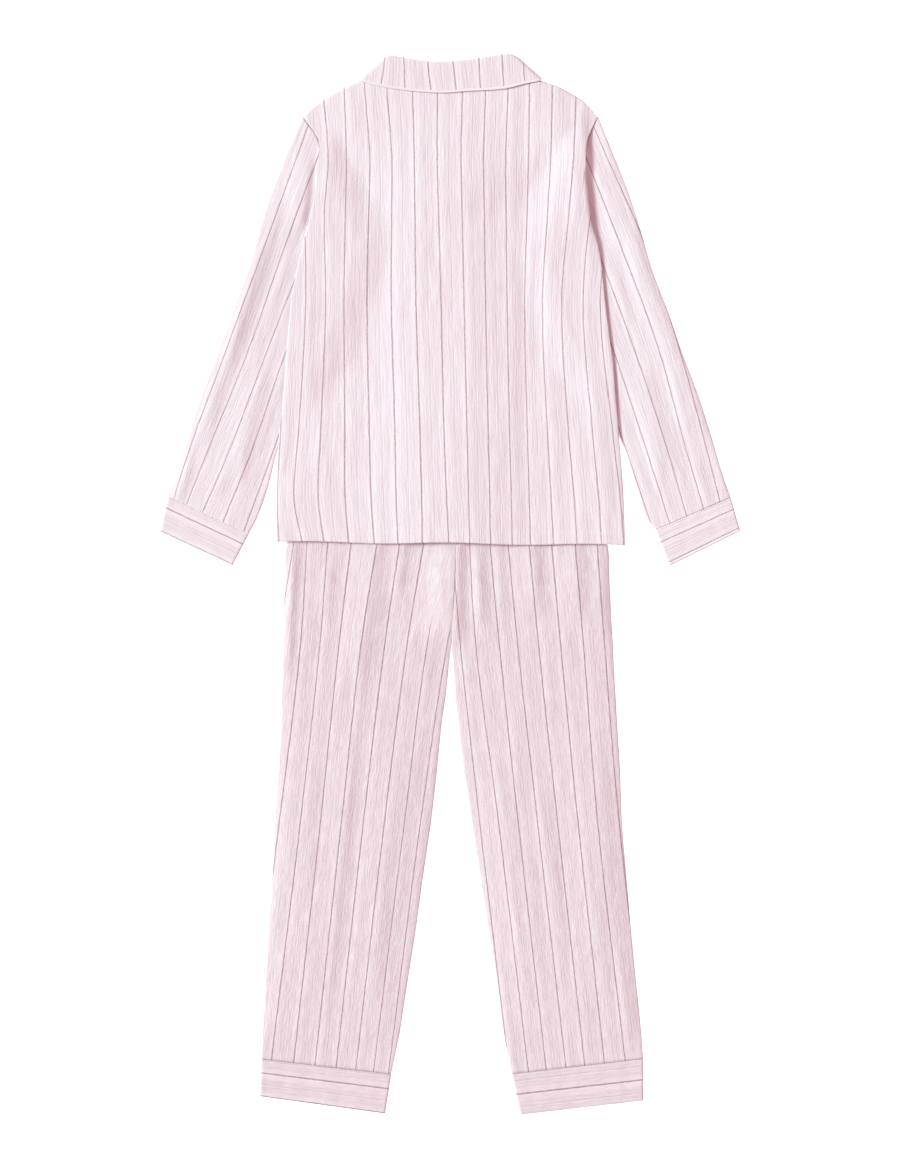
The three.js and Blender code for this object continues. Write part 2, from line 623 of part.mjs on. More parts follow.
// Points of an armhole from the underarm up to the tip of the shoulder, beside the body above its lower part
function armhole(side, underarm) {
  const sign = side === 'left' ? -1 : 1;
  const beside = ARMHOLE_SEAM.map((y) => ({ x: lookup(bodyEdge, 'y', y, side) + sign * SEAM_GAP, y }));
  return [...underarm, ...beside];
}

function shirtSleeve(side, rows, underarm, folds) {
  const sign = side === 'left' ? -1 : 1;
  const points = armhole(side, underarm);
  const lengths = [0];
  points.slice(1).forEach(({ x, y }, i) => {
    lengths.push(lengths[i] + Math.hypot(x - points[i].x, y - points[i].y));
  });
  const shares = lengths.map((length) => length / lengths.at(-1));
  // The folds stay clear of the part that lies under the body
  const upper = (x, y) => {
    const past = sign * x - sign * lookup(bodyEdge, 'y', y, side);
    return foldHeight(folds, x, y) * smoothstep(past, 4, 18);
  };
  const atArmhole = (share) => {
    const i = shares.indexOf(share);
    return [points[i].x, points[i].y];
  };
  const shape = { shares, thickness: CLOTH, step: LAYER_STEP, upper };
  const places = [atArmhole, ...rows.map((row) => rowPlace(row, CLOTH))];
  const grid = places.map((place) => tubeSection({ ...shape, place }));
  return piece(`shirt_sleeve_${side}`, wallGeometry(grid, CLOTH, true), clothLook);
}

// A double band round a flat tube: from its seam to its free edge, in three sections
function band(name, seam, free, points) {
  const length = Math.hypot(free.outerX - seam.outerX, free.outerY - seam.outerY);
  const gap = BAND_GAP / length;
  const grid = [gap, 0.5, 1].map((part) => {
    const row = Object.fromEntries(Object.keys(seam).map((key) => [key, lerp(seam[key], free[key], part)]));
    const shape = { shares: evenShares(points), thickness: DOUBLE, step: BAND_STEP };
    return tubeSection({ ...shape, place: rowPlace(row, DOUBLE) });
  });
  return piece(name, wallGeometry(grid, DOUBLE, true), bandLook);
}

// The seam between a leg and its cuff, as a row of its outer and inner ends
function legSeam(side) {
  const { y, [`${side}Outer`]: outerX, [`${side}Inner`]: innerX } = legRows.at(-1);
  return { outerX, outerY: y, innerX, innerY: y - LEG_SEAM_DROP };
}

// One leg: a sheet that starts at the back of the inseam, passes over the top, round the outside and back
// below to the front of the inseam. Above the crotch its two edges meet the other leg's instead.
function trouserLeg(side) {
  const sign = side === 'left' ? -1 : 1;
  const lowZ = CLOTH / 2;
  const topZ = (x, y) => lowZ + LAYER_STEP + foldHeight(trouserFolds, x, y);
  const [first, last] = [legRows[0].y, legRows.at(-1).y];
  const grid = legRows.map((row) => {
    const curl = row.y > CROTCH_Y ? 0 : 1;
    const seamGap = row.y > CROTCH_Y ? SEAM_GAP / 2 : 0;
    const inner = row[`${side}Inner`] + sign * seamGap;
    const outer = row[`${side}Outer`];
    const drop = LEG_SEAM_DROP * ((first - row.y) / (first - last)) ** 2;
    const across = sign * (outer - inner);
    const at = (distance) => [inner + sign * distance, row.y - drop * (1 - distance / across)];
    const ends = turnedEdge(curl);
    const reach = dropPerShare(lowZ, lowZ + LAYER_STEP);
    const wide = [ends[2].inset, across - TURN - CLOTH / 2];
    const spread = (count) => evenShares(count).map((share) => at(lerp(...wide, share)));
    const top = spread(LEG_TOP_POINTS).map(([x, y]) => new THREE.Vector3(x, y, topZ(x, y)));
    const under = spread(LEG_UNDER_POINTS).map(([x, y]) => new THREE.Vector3(x, y, lowZ));
    const outside = top.at(-1);
    const round = TURN_ANGLES.map((angle) => {
      const [x, y] = at(wide[1] + TURN * Math.sin(angle));
      return new THREE.Vector3(x, y, lerp(lowZ, outside.z, (1 + Math.cos(angle)) / 2));
    });
    const edge = (flatZ, direction) => ends.slice(0, 2).map(({ inset, drop: share }) => {
      const [x, y] = at(inset);
      return new THREE.Vector3(x, y, flatZ + direction * reach * share);
    });
    return [...edge(top[0].z, -1), ...top, ...round, ...under.reverse(), ...edge(lowZ, 1).reverse()];
  });
  return piece(`trouser_leg_${side}`, wallGeometry(grid, CLOTH), clothLook);
}

function trouserWaistband() {
  const row = (y) => ({ innerX: WAISTBAND.left, innerY: y, outerX: WAISTBAND.right, outerY: y });
  return band('trouser_waistband', row(WAISTBAND.bottom), row(WAISTBAND.top), WAISTBAND.points);
}

// A plain round button with a shallow dish in its lower face, which is its outer one
function buttonGeometry() {
  const radius = BUTTON.diameter / 2;
  const profile = [
    [0, BUTTON.dish],
    [radius - BUTTON.rim - BUTTON.dish, BUTTON.dish],
    [radius - BUTTON.rim, 0],
    [radius - BUTTON.dish, 0],
    [radius, BUTTON.dish],
    [radius, BUTTON.thick - BUTTON.dish],
    [radius - BUTTON.dish, BUTTON.thick],
    [0, BUTTON.thick],
  ];
  const geometry = new THREE.LatheGeometry(profile.map(([x, y]) => new THREE.Vector2(x, y)), BUTTON.sides);
  return geometry.rotateX(Math.PI / 2);
}

function buttons() {
  return BUTTON_ROWS.map((y, row) => {
    const button = piece(`shirt_button_${row + 1}`, buttonGeometry(), buttonLook);
    button.position.set(0, y, lift('front', 0, y));
    return button;
  });
}

const shirt = new THREE.Group();
shirt.add(shirtBack(), shirtFront('left'), shirtFront('right'), shirtCollar());
shirt.add(shirtSleeve('left', leftSleeveRows, leftUnderarm, leftSleeveFolds));
shirt.add(shirtSleeve('right', rightSleeveRows, rightUnderarm, rightSleeveFolds));
shirt.add(band('shirt_cuff_left', leftSleeveRows.at(-1), sleeveCuffs.left, ARM_TOP_SHARES));
shirt.add(band('shirt_cuff_right', rightSleeveRows.at(-1), sleeveCuffs.right, ARM_TOP_SHARES));
shirt.add(...buttons());

const trousers = new THREE.Group();
trousers.add(trouserLeg('left'), trouserLeg('right'), trouserWaistband());
trousers.add(band('trouser_cuff_left', legSeam('left'), legCuffs.left, WAISTBAND.points));
trousers.add(band('trouser_cuff_right', legSeam('right'), legCuffs.right, WAISTBAND.points));

const pyjamaSet = new THREE.Group();
pyjamaSet.add(shirt, trousers);

export default pyjamaSet;
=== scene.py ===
# Looks of a pyjama set that lies face down on a flat surface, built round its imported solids.
# Sizes are millimetres in the solids' frame, +Z up and +Y towards the collar. PHOTO_MIDDLE, PHOTO_CENTRE_Y
# and the tables of pin stripes are in pixels of the photograph.

import bpy
import numpy as np
from mathutils import Matrix, Vector


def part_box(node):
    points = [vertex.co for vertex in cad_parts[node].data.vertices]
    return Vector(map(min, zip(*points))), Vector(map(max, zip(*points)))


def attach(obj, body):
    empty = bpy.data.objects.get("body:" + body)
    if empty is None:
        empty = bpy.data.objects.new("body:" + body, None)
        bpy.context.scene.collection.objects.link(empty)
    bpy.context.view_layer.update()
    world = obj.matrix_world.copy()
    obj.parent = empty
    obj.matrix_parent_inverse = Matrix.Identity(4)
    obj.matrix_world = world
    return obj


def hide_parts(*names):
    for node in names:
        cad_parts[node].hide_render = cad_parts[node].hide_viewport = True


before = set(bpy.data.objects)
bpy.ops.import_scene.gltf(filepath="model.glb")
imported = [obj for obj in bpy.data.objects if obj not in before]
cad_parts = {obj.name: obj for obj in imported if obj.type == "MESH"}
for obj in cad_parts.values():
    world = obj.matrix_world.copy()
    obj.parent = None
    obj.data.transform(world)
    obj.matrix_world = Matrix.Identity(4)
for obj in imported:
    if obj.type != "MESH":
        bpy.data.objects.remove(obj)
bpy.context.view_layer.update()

METRE = 0.001  # one millimetre

# Photograph
PHOTO_SCALE = 1.45  # millimetres to a pixel
PHOTO_MIDDLE = (450, 584)  # where the frame's X and Y are zero
PHOTO_CENTRE_Y = 588
VIEW_HEIGHT = 1.7052  # metres that the photograph's long side takes in
LENS, SENSOR = 85, 36

# Floor and light
FLOOR = {"half": 30000, "z": -0.6}
ROOM_LIGHT = {"colour": (1.0, 0.64, 0.69, 1), "strength": 0.63}
WINDOW = {"towards": (-0.85, 0.17, 0.5), "width": 20, "colour": (0.68, 1.0, 0.96), "strength": 4.4}

# Cloth, as in the solids
CLOTH = 1.2
DOUBLE = 1.8
SEAM_GAP = 0.3
BAND_GAP = 0.5
EDGE_GAP = 1.08
LAYER_STEP = 2.1
BAND_STEP = 2.6
TURN = 1.3
TURN_ANGLES = np.radians([30, 60, 90, 120, 150])
EDGE_ANGLES = np.radians([90, 60, 30, 0])  # from a sewn edge in to the flat cloth
SLEEVE_HEIGHT = CLOTH + LAYER_STEP

# Cloth, in the looks alone
SIDE_TURN = 5.0  # width of the soft turn at a sewn side, where the solids turn within 1.3
SEEN_GAP = 0.06  # at the seams that show, where the solids leave 0.3
REPEAT = 34.0  # from one dark pin stripe to the next, on the flat cloth
PLAIN = 0.2  # a place in the repeat with no line
LEFT_WIDER = 1.7  # how much wider a fold is on its left, unless its table says how wide

# Shirt. Its outlines are those of the solids, but the collar's roll ends a millimetre or two off them.
OVERLAP = 17
FACING = 42
OVERLAP_STEP = 2.4
BREAK_Y = 580
BREAK_X = 10
BREAK_EASE = 60
NECK_X, NECK_Y = 92, 741
HEM = {"left": 61, "right": 56, "wave": 1.2, "waves": 2.5}
HEM_ROW, HEM_EASE = 58, 42  # the lowest row, and the height over which the rows follow the hem
BUTTON = {"diameter": 11.5, "thick": 2.2}
BUTTON_ROWS = [528, 415, 302, 188]
HOLE = {"radius": 0.85, "offset": 1.35}
HEM_DEPTH = 18  # from the edge of a hem to its sewing
SIDE_OPENS = (585, 605)  # heights between which a side edge stops being turned, at the armhole
TOP_TURNS = (98, 112, 194, 206)  # the turned top edge comes and goes between these, from the neck outwards
TOP_CLIMB = 450  # the height from which the back's rows bend towards the top edge
LAPEL_ROWS = (571.5, 659)
SEAM_SHARE = 0.0025  # of the back's width, from a side edge to the first point of its flat cloth

BODY_EDGE = [  # y, left x, right x
    (56, -252, 254), (136, -251.5, 251), (202, -249, 246), (267, -242, 240.5), (310, -239, 237.5),
    (384, -233, 228), (426, -228, 223.5), (467, -219, 219), (497, -212, 213), (519, -206, 206),
    (571, -196, 199.5), (600, -193, 196.5), (642, -190, 199), (676, -212, 213.5),
]
TOP_EDGE = [  # x, y
    (-212, 676), (-204.5, 684), (-196, 693), (-183, 702), (-170, 710.5), (-154, 718), (-136, 725),
    (-118, 731.5), (-96, 740), (-86, 737), (-66, 731.5), (-35, 728), (0, 727), (35, 728), (66, 731.5),
    (86, 737), (96, 740), (118, 731.5), (137, 726), (159.5, 718.5), (174, 710.5), (190, 702), (200, 693),
    (209, 684), (213.5, 676),
]
FRONT_ROWS = [  # y at the side, y at the front edge, lapel
    (58, 58, 0), (497, 497, 0), (524, 528, 0), (550, 560, 0), (571, 582, 0), (586, 612, 14), (600, 640, 50),
    (621, 668.5, 72), (632, 676.5, 42), (642, 686.3, 5), (660, 713, 0),
]
COLLAR_ROWS = [  # roll x, roll y, fall x, fall y
    (-87, 766, -129, 727.5), (-62, 759.5, -102, 720.5), (-33, 755, -64, 714.5), (-5, 754.5, -14, 711),
    (22, 757, 27, 713.5), (50, 761, 76, 716.5), (72, 765.5, 106, 723.5), (86.5, 767.5, 130, 728.5),
]
COLLAR_TURN = 4.2
COLLAR_DEPTH = 44
COLLAR_SEWN, COLLAR_HEM = 0.915, 0.93  # shares of the fall where it is sewn, and past which no stripe shows
STAND_IN = 12.0  # from the neck's edge to where the height of the stand is taken
CORNER_DIP, CORNER_LENGTH = 0.02, 3  # the roll dips at its ends by this share of the fall
LEAF_END = [(0, 57.5, 688.5), (0.45, 87, 656.6), (1, 121, 665)]  # share of the fall, x, y

SLEEVES = {  # outer x, outer y, inner x, inner y, from the armhole to the seam of the cuff
    "left": [
        (-235, 629, -158, 455), (-258, 571, -170, 425), (-277, 513, -184, 388), (-294, 455, -200, 345),
        (-316, 397, -216, 297), (-336, 339, -232, 245), (-358, 281, -250, 194), (-377, 223, -265, 136),
        (-394, 165, -279, 97), (-409, 128, -291.5, 72.5),
    ],
    "right": [
        (234, 629, 158, 455), (257, 571, 170, 425), (276, 513, 184, 388), (293, 455, 200, 345),
        (315, 397, 216, 297), (335, 339, 233, 245), (357, 281, 253, 194), (376, 223, 271, 136),
        (393, 165, 283, 98), (407, 125, 297, 78),
    ],
}
UNDERARM = [(150, 480), (166, 520), (181, 562)]
ARMHOLE_SEAM = (600, 676)
ARMPIT = (440, 500)  # the heights over which the sleeve comes out from under the body
SHOULDER_SINK = {"left": 0.0, "right": 0.8}  # how far the sleeve starts below the body at the shoulder
CLEAR_OF_BODY = {"left": (0, 8), "right": (11, 28)}  # distances from the body over which the folds begin
SLEEVE_CUFFS = {"left": (-420.5, 76.5, -315, 27.5), "right": (420.5, 77, 317.6, 26)}

LEG_ROWS = [  # y, left outer, left inner, right inner, right outer
    (168, -172, 9, 9, 178), (140, -196, 9.5, 9.5, 196), (105, -220, 10, 10, 215), (54, -238, 9, 9, 229),
    (10, -239.5, 7, 7, 231), (-30, -241, 5, 5, 233), (-70, -242, 3, 3, 235), (-84, -242.4, 2.1, 2.1, 236),
    (-96, -242.8, 0.7, 2.6, 236.4), (-104, -243, -0.2, 3.2, 236.8), (-110, -243.2, -0.6, 3.5, 237),
    (-161, -244.3, -6, 7, 240), (-197, -245, -11.6, 11.6, 242),
    (-270, -249, -19, 20, 246.5), (-342, -254, -27.6, 32, 249), (-415, -257, -39, 43.5, 255),
    (-487, -262.5, -49, 55, 261), (-560, -267, -61, 67, 268), (-632, -271, -72.5, 77, 275.5),
    (-688, -274, -85, 89, 280),
]
LEG_COLUMNS = {"left": (1, 2), "right": (4, 3)}  # of the outer and the inner edge
CROTCH_Y = -105
FADED_STRIPE = {"after": (6.2, 6.45), "above": (-82, -44)}  # by the left leg's inseam, in stripes and in y
LEG_SEAM_DROP = 22
LEG_CUFFS = {"left": (-275.5, -742, -94, -767), "right": (280, -748, 101.5, -768.5)}
WAISTBAND = {"left": -172, "right": 178, "bottom": 168.2, "top": 200}

# Pin stripes: a height in the photograph, and the places of the lines at it from left to right
BACK_STRIPES = {
    92: [
        278, 302, 323, 344.5, 365, 387, 412.5, 437.5, 462.5, 485.5, 508, 529.3, 552, 576, 604, 628, 650,
    ],
    160: [
        280, 304, 328.5, 346.3, 369.9, 391.9, 414.4, 437.2, 461, 483.4, 505.6, 528.4, 550.5, 573, 600, 623,
        646,
    ],
    215: [
        282, 305, 324.5, 345.5, 368.8, 391.7, 415, 438.7, 462.2, 484.2, 506, 527, 547.3, 568.5, 590.3, 610.3,
        632.5,
    ],
    300: [286, 306, 326, 344, 367, 391.4, 416, 441, 464, 485.4, 507, 524.6, 542.4, 561.5, 583, 600, 621],
    430: [281, 299, 321, 345, 369.5, 395, 420, 444, 467, 488, 509.5, 527, 547, 568, 592, 612, 634],
    500: [
        277.6, 294.2, 318.5, 345.3, 371.4, 396.3, 421.8, 446.7, 468.5, 489.7, 511.3, 529, 551, 574, 598.5,
        620, 643,
    ],
    540: [
        279, 302, 323.6, 348.5, 374.2, 398, 422.4, 448.7, 469.7, 490.4, 512, 530, 553, 576.5, 601, 623, 646,
    ],
}
COLLAR_STRIPES = {
    60: [341, 363, 384.9, 403.8, 427.3, 452.7, 478.9, 502.1, 522.8, 544, 566],
    88: [336, 358, 381.1, 405, 430.5, 455.8, 480.3, 503.7, 524.9, 547, 569],
}
SLEEVE_STRIPES = {
    "left": {
        150: [275, 299.7, 320.6, 346, 370, 394], 250: [241, 263.5, 283.7, 306.7, 328, 350],
        350: [205, 226.8, 248.8, 267.7, 286.7, 308], 450: [168, 189.7, 208.4, 229.9, 252.2, 273.8],
        510: [150, 170.8, 184.4, 203.8, 228.2, 251.8],
    },
    "right": {
        150: [516, 536, 558, 583, 603.5, 626], 250: [557, 578, 597, 622, 646.7, 670],
        350: [592, 613.2, 634.1, 658.6, 679.1, 701], 450: [626, 646.2, 667, 685.9, 706.4, 727],
        510: [646, 665.2, 684.6, 703.6, 721.8, 741],
    },
}
LEG_STRIPES = {
    "left": {
        545: [293.6, 306.7, 327.6, 351, 376.9, 399.5, 423.4, 447, 468, 490],
        640: [279, 301.2, 320.4, 339.5, 361.8, 385.4, 407.8, 428, 448, 470],
        818: [258, 280, 301, 321, 342, 364, 385, 405, 421, 441],
        1060: [228, 249.6, 271.6, 294, 315.6, 337, 357, 375, 390, 408],
    },
    "right": {
        545: [432, 452, 469.5, 490, 508, 529, 551.6, 575, 597, 619],
        640: [440, 460, 475, 499, 517, 538, 560, 583, 604, 626],
        818: [461, 479.3, 498, 517.7, 537, 557, 577.5, 597, 618.6, 640],
        1060: [489, 508, 527, 545, 565, 584, 604, 625, 646, 668],
    },
}
# Shares of a cuff's depth where its first line lies, and from one line to the next
CUFF_STRIPES = {
    "shirt_cuff_left": (0.33, 0.66), "shirt_cuff_right": (0.34, 0.56),
    "trouser_cuff_left": (0.37, 0.62), "trouser_cuff_right": (0.5, 0.64),
}

# Folds: the two ends of a ridge, the width of its right half, its height, and for some that of its left half
BACK_FOLDS = [
    (-203, 440, -214, 240, 14, 1.0), (-118, 570, -150, 110, 20, 0.7), (-52, 610, -60, 80, 18, 0.7),
    (30, 640, 24, 80, 16, 0.5), (92, 620, 84, 120, 16, 1.0), (150, 570, 150, 90, 17, 1.1),
    (212, 340, 226, 80, 14, 0.9), (186, 715, 203, 470, 10, 3.4, 60),
]
SLEEVE_FOLDS = {
    "left": [
        (-201, 634, -219, 500, 9, 2.8, 22), (-240, 600, -330, 300, 14, 2.0), (-262, 525, -372, 180, 12, 1.6),
        (-264, 330, -318, 130, 14, 1.8),
    ],
    "right": [
        (224, 645, 240, 465, 16, 0.7, 24), (240, 590, 330, 300, 14, 2.0), (300, 430, 375, 180, 12, 1.6),
        (266, 330, 326, 130, 14, 1.6),
    ],
}
TROUSER_FOLDS = [
    (-224, 120, -240, -180, 8, 1.5), (-99, 130, -140, -190, 12, 2.7), (-64, 120, -78, -40, 9, 1.7),
    (9, 130, 5, -115, 13, 3.8, 34), (37, 128, 48, -100, 13, 1.5, 13),
    (58, 128, 66, -60, 9, -0.6, 9), (68, 130, 72, -80, 9, 1.0),
    (114, 120, 124, -70, 12, 1.9), (178, 120, 186, -80, 13, 1.9), (212, 100, 220, -100, 9, 1.1),
    (-64, -180, -128, -620, 20, 1.6), (-196, -210, -220, -650, 18, 1.4), (-134, -110, -184, -640, 13, 1.8),
    (66, -200, 130, -620, 20, 1.6), (192, -180, 226, -640, 18, 1.5), (128, -240, 166, -600, 14, 1.4),
]
UNDER_HEM = {"y": (44, 58), "room": (4.6, 2.05)}  # how high folds may stand below the hem, and under it
UNDER_SHIRT = (62, 104)  # heights over which the smaller forms of the legs end, under the shirt
# Smaller creases, which only the looks have, in the same form; a negative height is a trough
BACK_CREASES = [
    (-176, 640, -186, 470, 7, 0.8), (-150, 690, -168, 600, 9, 0.6), (178, 660, 184, 500, 7, 0.9),
    (196, 560, 206, 430, 6, 0.7), (120, 500, 112, 300, 6, 0.6), (64, 560, 70, 330, 7, -0.35),
    (-20, 480, -16, 250, 7, 0.45), (-88, 420, -92, 190, 6, 0.5), (-182, 300, -196, 110, 8, 0.7),
    (128, 250, 132, 80, 7, 0.5), (186, 220, 192, 70, 8, 0.6), (-228, 170, -226, 64, 6, 0.7),
    (4, 260, 8, 70, 7, 0.4), (56, 210, 52, 66, 8, -0.3), (-130, 230, -134, 70, 8, -0.3),
]
SLEEVE_CREASES = {
    "left": [
        (-214, 590, -246, 470, 6, 0.9), (-236, 480, -268, 350, 7, 0.7), (-300, 400, -322, 300, 6, 0.6),
        (-330, 290, -362, 160, 7, 0.7), (-290, 220, -306, 130, 7, 0.6), (-372, 190, -394, 110, 6, 0.6),
        (-250, 560, -276, 470, 6, -0.3), (-318, 200, -340, 110, 7, 0.5),
    ],
    "right": [
        (210, 640, 216, 560, 5, 1.0), (262, 540, 290, 420, 7, 0.8), (236, 470, 262, 350, 7, 0.6),
        (318, 330, 348, 200, 7, 0.7), (286, 250, 312, 140, 6, 0.6), (352, 190, 376, 110, 6, 0.6),
        (388, 200, 398, 130, 5, 0.5), (330, 180, 344, 110, 7, 0.4),
    ],
}
TROUSER_CREASES = [
    (-226, 58, -236, -150, 5, 1.0), (-170, 58, -182, -60, 8, 0.7), (-90, 50, -104, -60, 5, 0.7),
    (-14, 40, -10, -60, 5, 0.7), (44, 50, 44, -70, 5, 0.8), (126, 56, 124, -30, 6, 0.6),
    (180, 58, 186, -60, 6, 0.7), (-60, -60, -30, -150, 8, 0.6), (40, -70, 24, -150, 8, 0.6),
    (-100, -160, -112, -330, 8, 0.5), (-222, -260, -236, -470, 7, 0.6), (-84, -420, -112, -640, 7, 0.6),
    (-180, -420, -196, -660, 8, 0.5), (-240, -500, -252, -676, 7, 0.5), (96, -160, 104, -330, 8, 0.5),
    (220, -240, 236, -450, 7, 0.6), (88, -420, 116, -640, 7, 0.6), (178, -430, 198, -660, 8, 0.5),
    (246, -500, 262, -676, 7, 0.5), (-140, -100, -148, -240, 7, -0.3), (150, -90, 158, -260, 7, -0.3),
]

# What lies under the shirt and lifts it: an outline, a height, a shelf, and the slope of each layer
SLEEVE_UNDER_BODY = [
    (-300, 612), (-188, 612), (-140, 490), (-168, 400), (-203, 300), (-240, 180), (-300, 150),
]
SUPPORTS = [
    {
        "outline": [(mirror * x, y) for x, y in SLEEVE_UNDER_BODY],
        "height": SLEEVE_HEIGHT + 1.1, "shelf": 2, "front": 48, "back": 56,
    }
    for mirror in (1, -1)
] + [
    {
        "outline": [
            (-240, 0), (-238, 54), (-222, 110), (-178, 168), (-178, 203),
            (184, 203), (184, 168), (216, 110), (230, 54), (232, 0),
        ],
        "height": SLEEVE_HEIGHT + 2.2, "shelf": 10, "front": 76, "back": 120,
    },
    {
        "outline": [
            (-90, 770), (-138, 728), (-126, 660), (-110, 626), (-14, 574),
            (14, 574), (110, 626), (126, 660), (138, 728), (90, 770),
        ],
        "height": DOUBLE + SEAM_GAP, "shelf": 4, "front": 40, "back": 60,
    },
]
PLACKET = {
    "outline": [(-12, 144), (12, 144), (12, 540), (-12, 540)],
    "height": BUTTON["thick"] + SEAM_GAP, "shelf": 6, "front": 40, "back": 130,
}
FRONT_OVERLAP = {
    "outline": [(-OVERLAP, 40), (OVERLAP, 40), (OVERLAP, 602), (-OVERLAP, 602)],
    "height": OVERLAP_STEP, "shelf": 8, "front": 30, "back": 110,
}


def smooth(value, low, high):
    """0 at low, 1 at high and a soft step between them."""
    share = np.clip((np.asarray(value, float) - low) / (high - low), 0, 1)
    return share * share * (3 - 2 * share)


def mix(start, end, share):
    return start + (end - start) * share


def curve(places, values):
    """A smooth line through rows of values, which goes straight on past its ends."""
    places, values = np.asarray(places, float), np.asarray(values, float)
    gaps = np.diff(places).reshape((-1,) + (1,) * (values.ndim - 1))
    slopes = np.diff(values, axis=0) / gaps
    tangents = np.concatenate([slopes[:1], (slopes[1:] + slopes[:-1]) / 2, slopes[-1:]])

    def at(place):
        place = np.asarray(place, float)
        i = np.clip(np.searchsorted(places, place) - 1, 0, len(places) - 2)
        shape = place.shape + (1,) * (values.ndim - 1)
        gap = (places[i + 1] - places[i]).reshape(shape)
        inside = np.clip(place, places[0], places[-1]).reshape(shape)
        t = (inside - places[i].reshape(shape)) / gap
        beyond = place.reshape(shape) - inside
        even = (2 * t**3 - 3 * t**2 + 1) * values[i] + (3 * t**2 - 2 * t**3) * values[i + 1]
        bent = gap * ((t**3 - 2 * t**2 + t) * tangents[i] + (t**3 - t**2) * tangents[i + 1])
        return even + bent + beyond * np.where(beyond < 0, tangents[0], tangents[-1])

    return at


body_rows = np.array(BODY_EDGE, float)
body_left, body_right = [curve(body_rows[:, 0], body_rows[:, k]) for k in (1, 2)]
TIP_Y, TIP_LEFT, TIP_RIGHT = body_rows[-1]


def top_edge(x):
    return np.interp(x, *np.array(TOP_EDGE, float).T)


def photo_x(pixel):
    return (np.asarray(pixel, float) - PHOTO_MIDDLE[0]) * PHOTO_SCALE


def photo_y(pixel):
    return (PHOTO_MIDDLE[1] - np.asarray(pixel, float)) * PHOTO_SCALE


def stripe_count(table, x, y):
    """How many repeats of the stripe lie between a table's first line and a point."""
    levels = sorted(table, reverse=True)
    lines = curve(photo_y(levels), [photo_x(table[level]) for level in levels])(y)
    before = np.clip((lines <= x[..., None]).sum(-1) - 1, 0, lines.shape[-1] - 2)
    start, end = [np.take_along_axis(lines, before[..., None] + k, -1)[..., 0] for k in (0, 1)]
    return before + (x - start) / (end - start)


def distance_outside(outline, x, y):
    """Distance from points to a closed outline that they lie outside of, and 0 inside it."""
    nearest, inside = np.full(x.shape, np.inf), np.zeros(x.shape, bool)
    for (ax, ay), (bx, by) in zip(outline, outline[1:] + outline[:1]):
        length = (bx - ax) ** 2 + (by - ay) ** 2
        share = np.clip(((x - ax) * (bx - ax) + (y - ay) * (by - ay)) / length, 0, 1)
        nearest = np.minimum(nearest, np.hypot(x - mix(ax, bx, share), y - mix(ay, by, share)))
        if ay != by:
            inside ^= ((ay > y) != (by > y)) & (x < ax + (bx - ax) * (y - ay) / (by - ay))
    return np.where(inside, 0, nearest)


def rise(support, layer, x, y):
    away = distance_outside(support["outline"], x, y)
    return support["height"] * (1 - smooth(away, support["shelf"], support["shelf"] + support[layer]))


def lift(layer, x, y):
    return sum(rise(support, layer, x, y) ** 4 for support in SUPPORTS) ** 0.25


def fold_height(folds, x, y):
    """Height of a table of ridges at points: each fades out towards its ends and is a soft bump across,
    wider on its left."""
    height = np.zeros(np.shape(x))
    for x1, y1, x2, y2, half, high, *left in folds:
        length = np.hypot(x2 - x1, y2 - y1)
        along = ((x - x1) * (x2 - x1) + (y - y1) * (y2 - y1)) / length
        across = ((x - x1) * (y2 - y1) - (y - y1) * (x2 - x1)) / length
        fade = smooth(along, 0, length * 0.3) * smooth(length - along, 0, length * 0.3)
        reach = np.where(across > 0, left[0] if left else LEFT_WIDER * half, half)
        height += high * fade * np.exp(-((across / reach) ** 2))
    return height


def ripple(across, along, seed):
    """Smooth random waves between -1 and 1, about one to a unit each way."""
    i, j = np.floor(across).astype(int), np.floor(along).astype(int)
    s, t = smooth(across - i, 0, 1), smooth(along - j, 0, 1)
    i, j = i - i.min(), j - j.min()
    lattice = np.random.default_rng(seed).uniform(-1, 1, (i.max() + 2, j.max() + 2))
    near = mix(lattice[i, j], lattice[i + 1, j], s)
    far = mix(lattice[i, j + 1], lattice[i + 1, j + 1], s)
    return mix(near, far, t)


def crinkle(count, along, seed):
    """Height of the cloth's own crinkle, drawn out along the stripes."""
    across = count * REPEAT
    wide = 0.26 * ripple(across / 13, along / 70, seed) + 0.16 * ripple(across / 8, along / 30, seed + 1)
    return wide + 0.1 * ripple(across / 7, along / 13, seed + 2)


def right_front_height(x, y):
    return CLOTH / 2 + lift("front", x, y) + rise(PLACKET, "front", x, y)


def left_front_height(x, y):
    return right_front_height(x, y) + rise(FRONT_OVERLAP, "front", x, y)


def back_height(x, y):
    carried = lift("back", x, y) + rise(PLACKET, "back", x, y) + rise(FRONT_OVERLAP, "back", x, y)
    return CLOTH / 2 + carried + LAYER_STEP + fold_height(BACK_FOLDS, x, y)


def edge_inset(curl, angle, turn=TURN):
    """How far in from the outline a point of a turned edge lies."""
    return curl * CLOTH / 2 + turn * (1 - np.sin(angle))


def edge_drop(curl, angle):
    """How far it drops from its layer to the other one, as a share."""
    return curl * (1 - np.cos(angle))


def side_curl(y):
    return 1 - smooth(y, *SIDE_OPENS)


def top_curl(x):
    return smooth(np.abs(x), *TOP_TURNS[:2]) * (1 - smooth(np.abs(x), *TOP_TURNS[2:]))


def reach_of_drop(lower, upper):
    return (upper - lower) / 2 - EDGE_GAP / 2


def hem_at(x):
    low_left, low_right = body_rows[0, 1:]
    share = (x - low_left) / (low_right - low_left)
    return mix(HEM["left"], HEM["right"], share) + HEM["wave"] * np.sin(share * HEM["waves"] * 2 * np.pi)


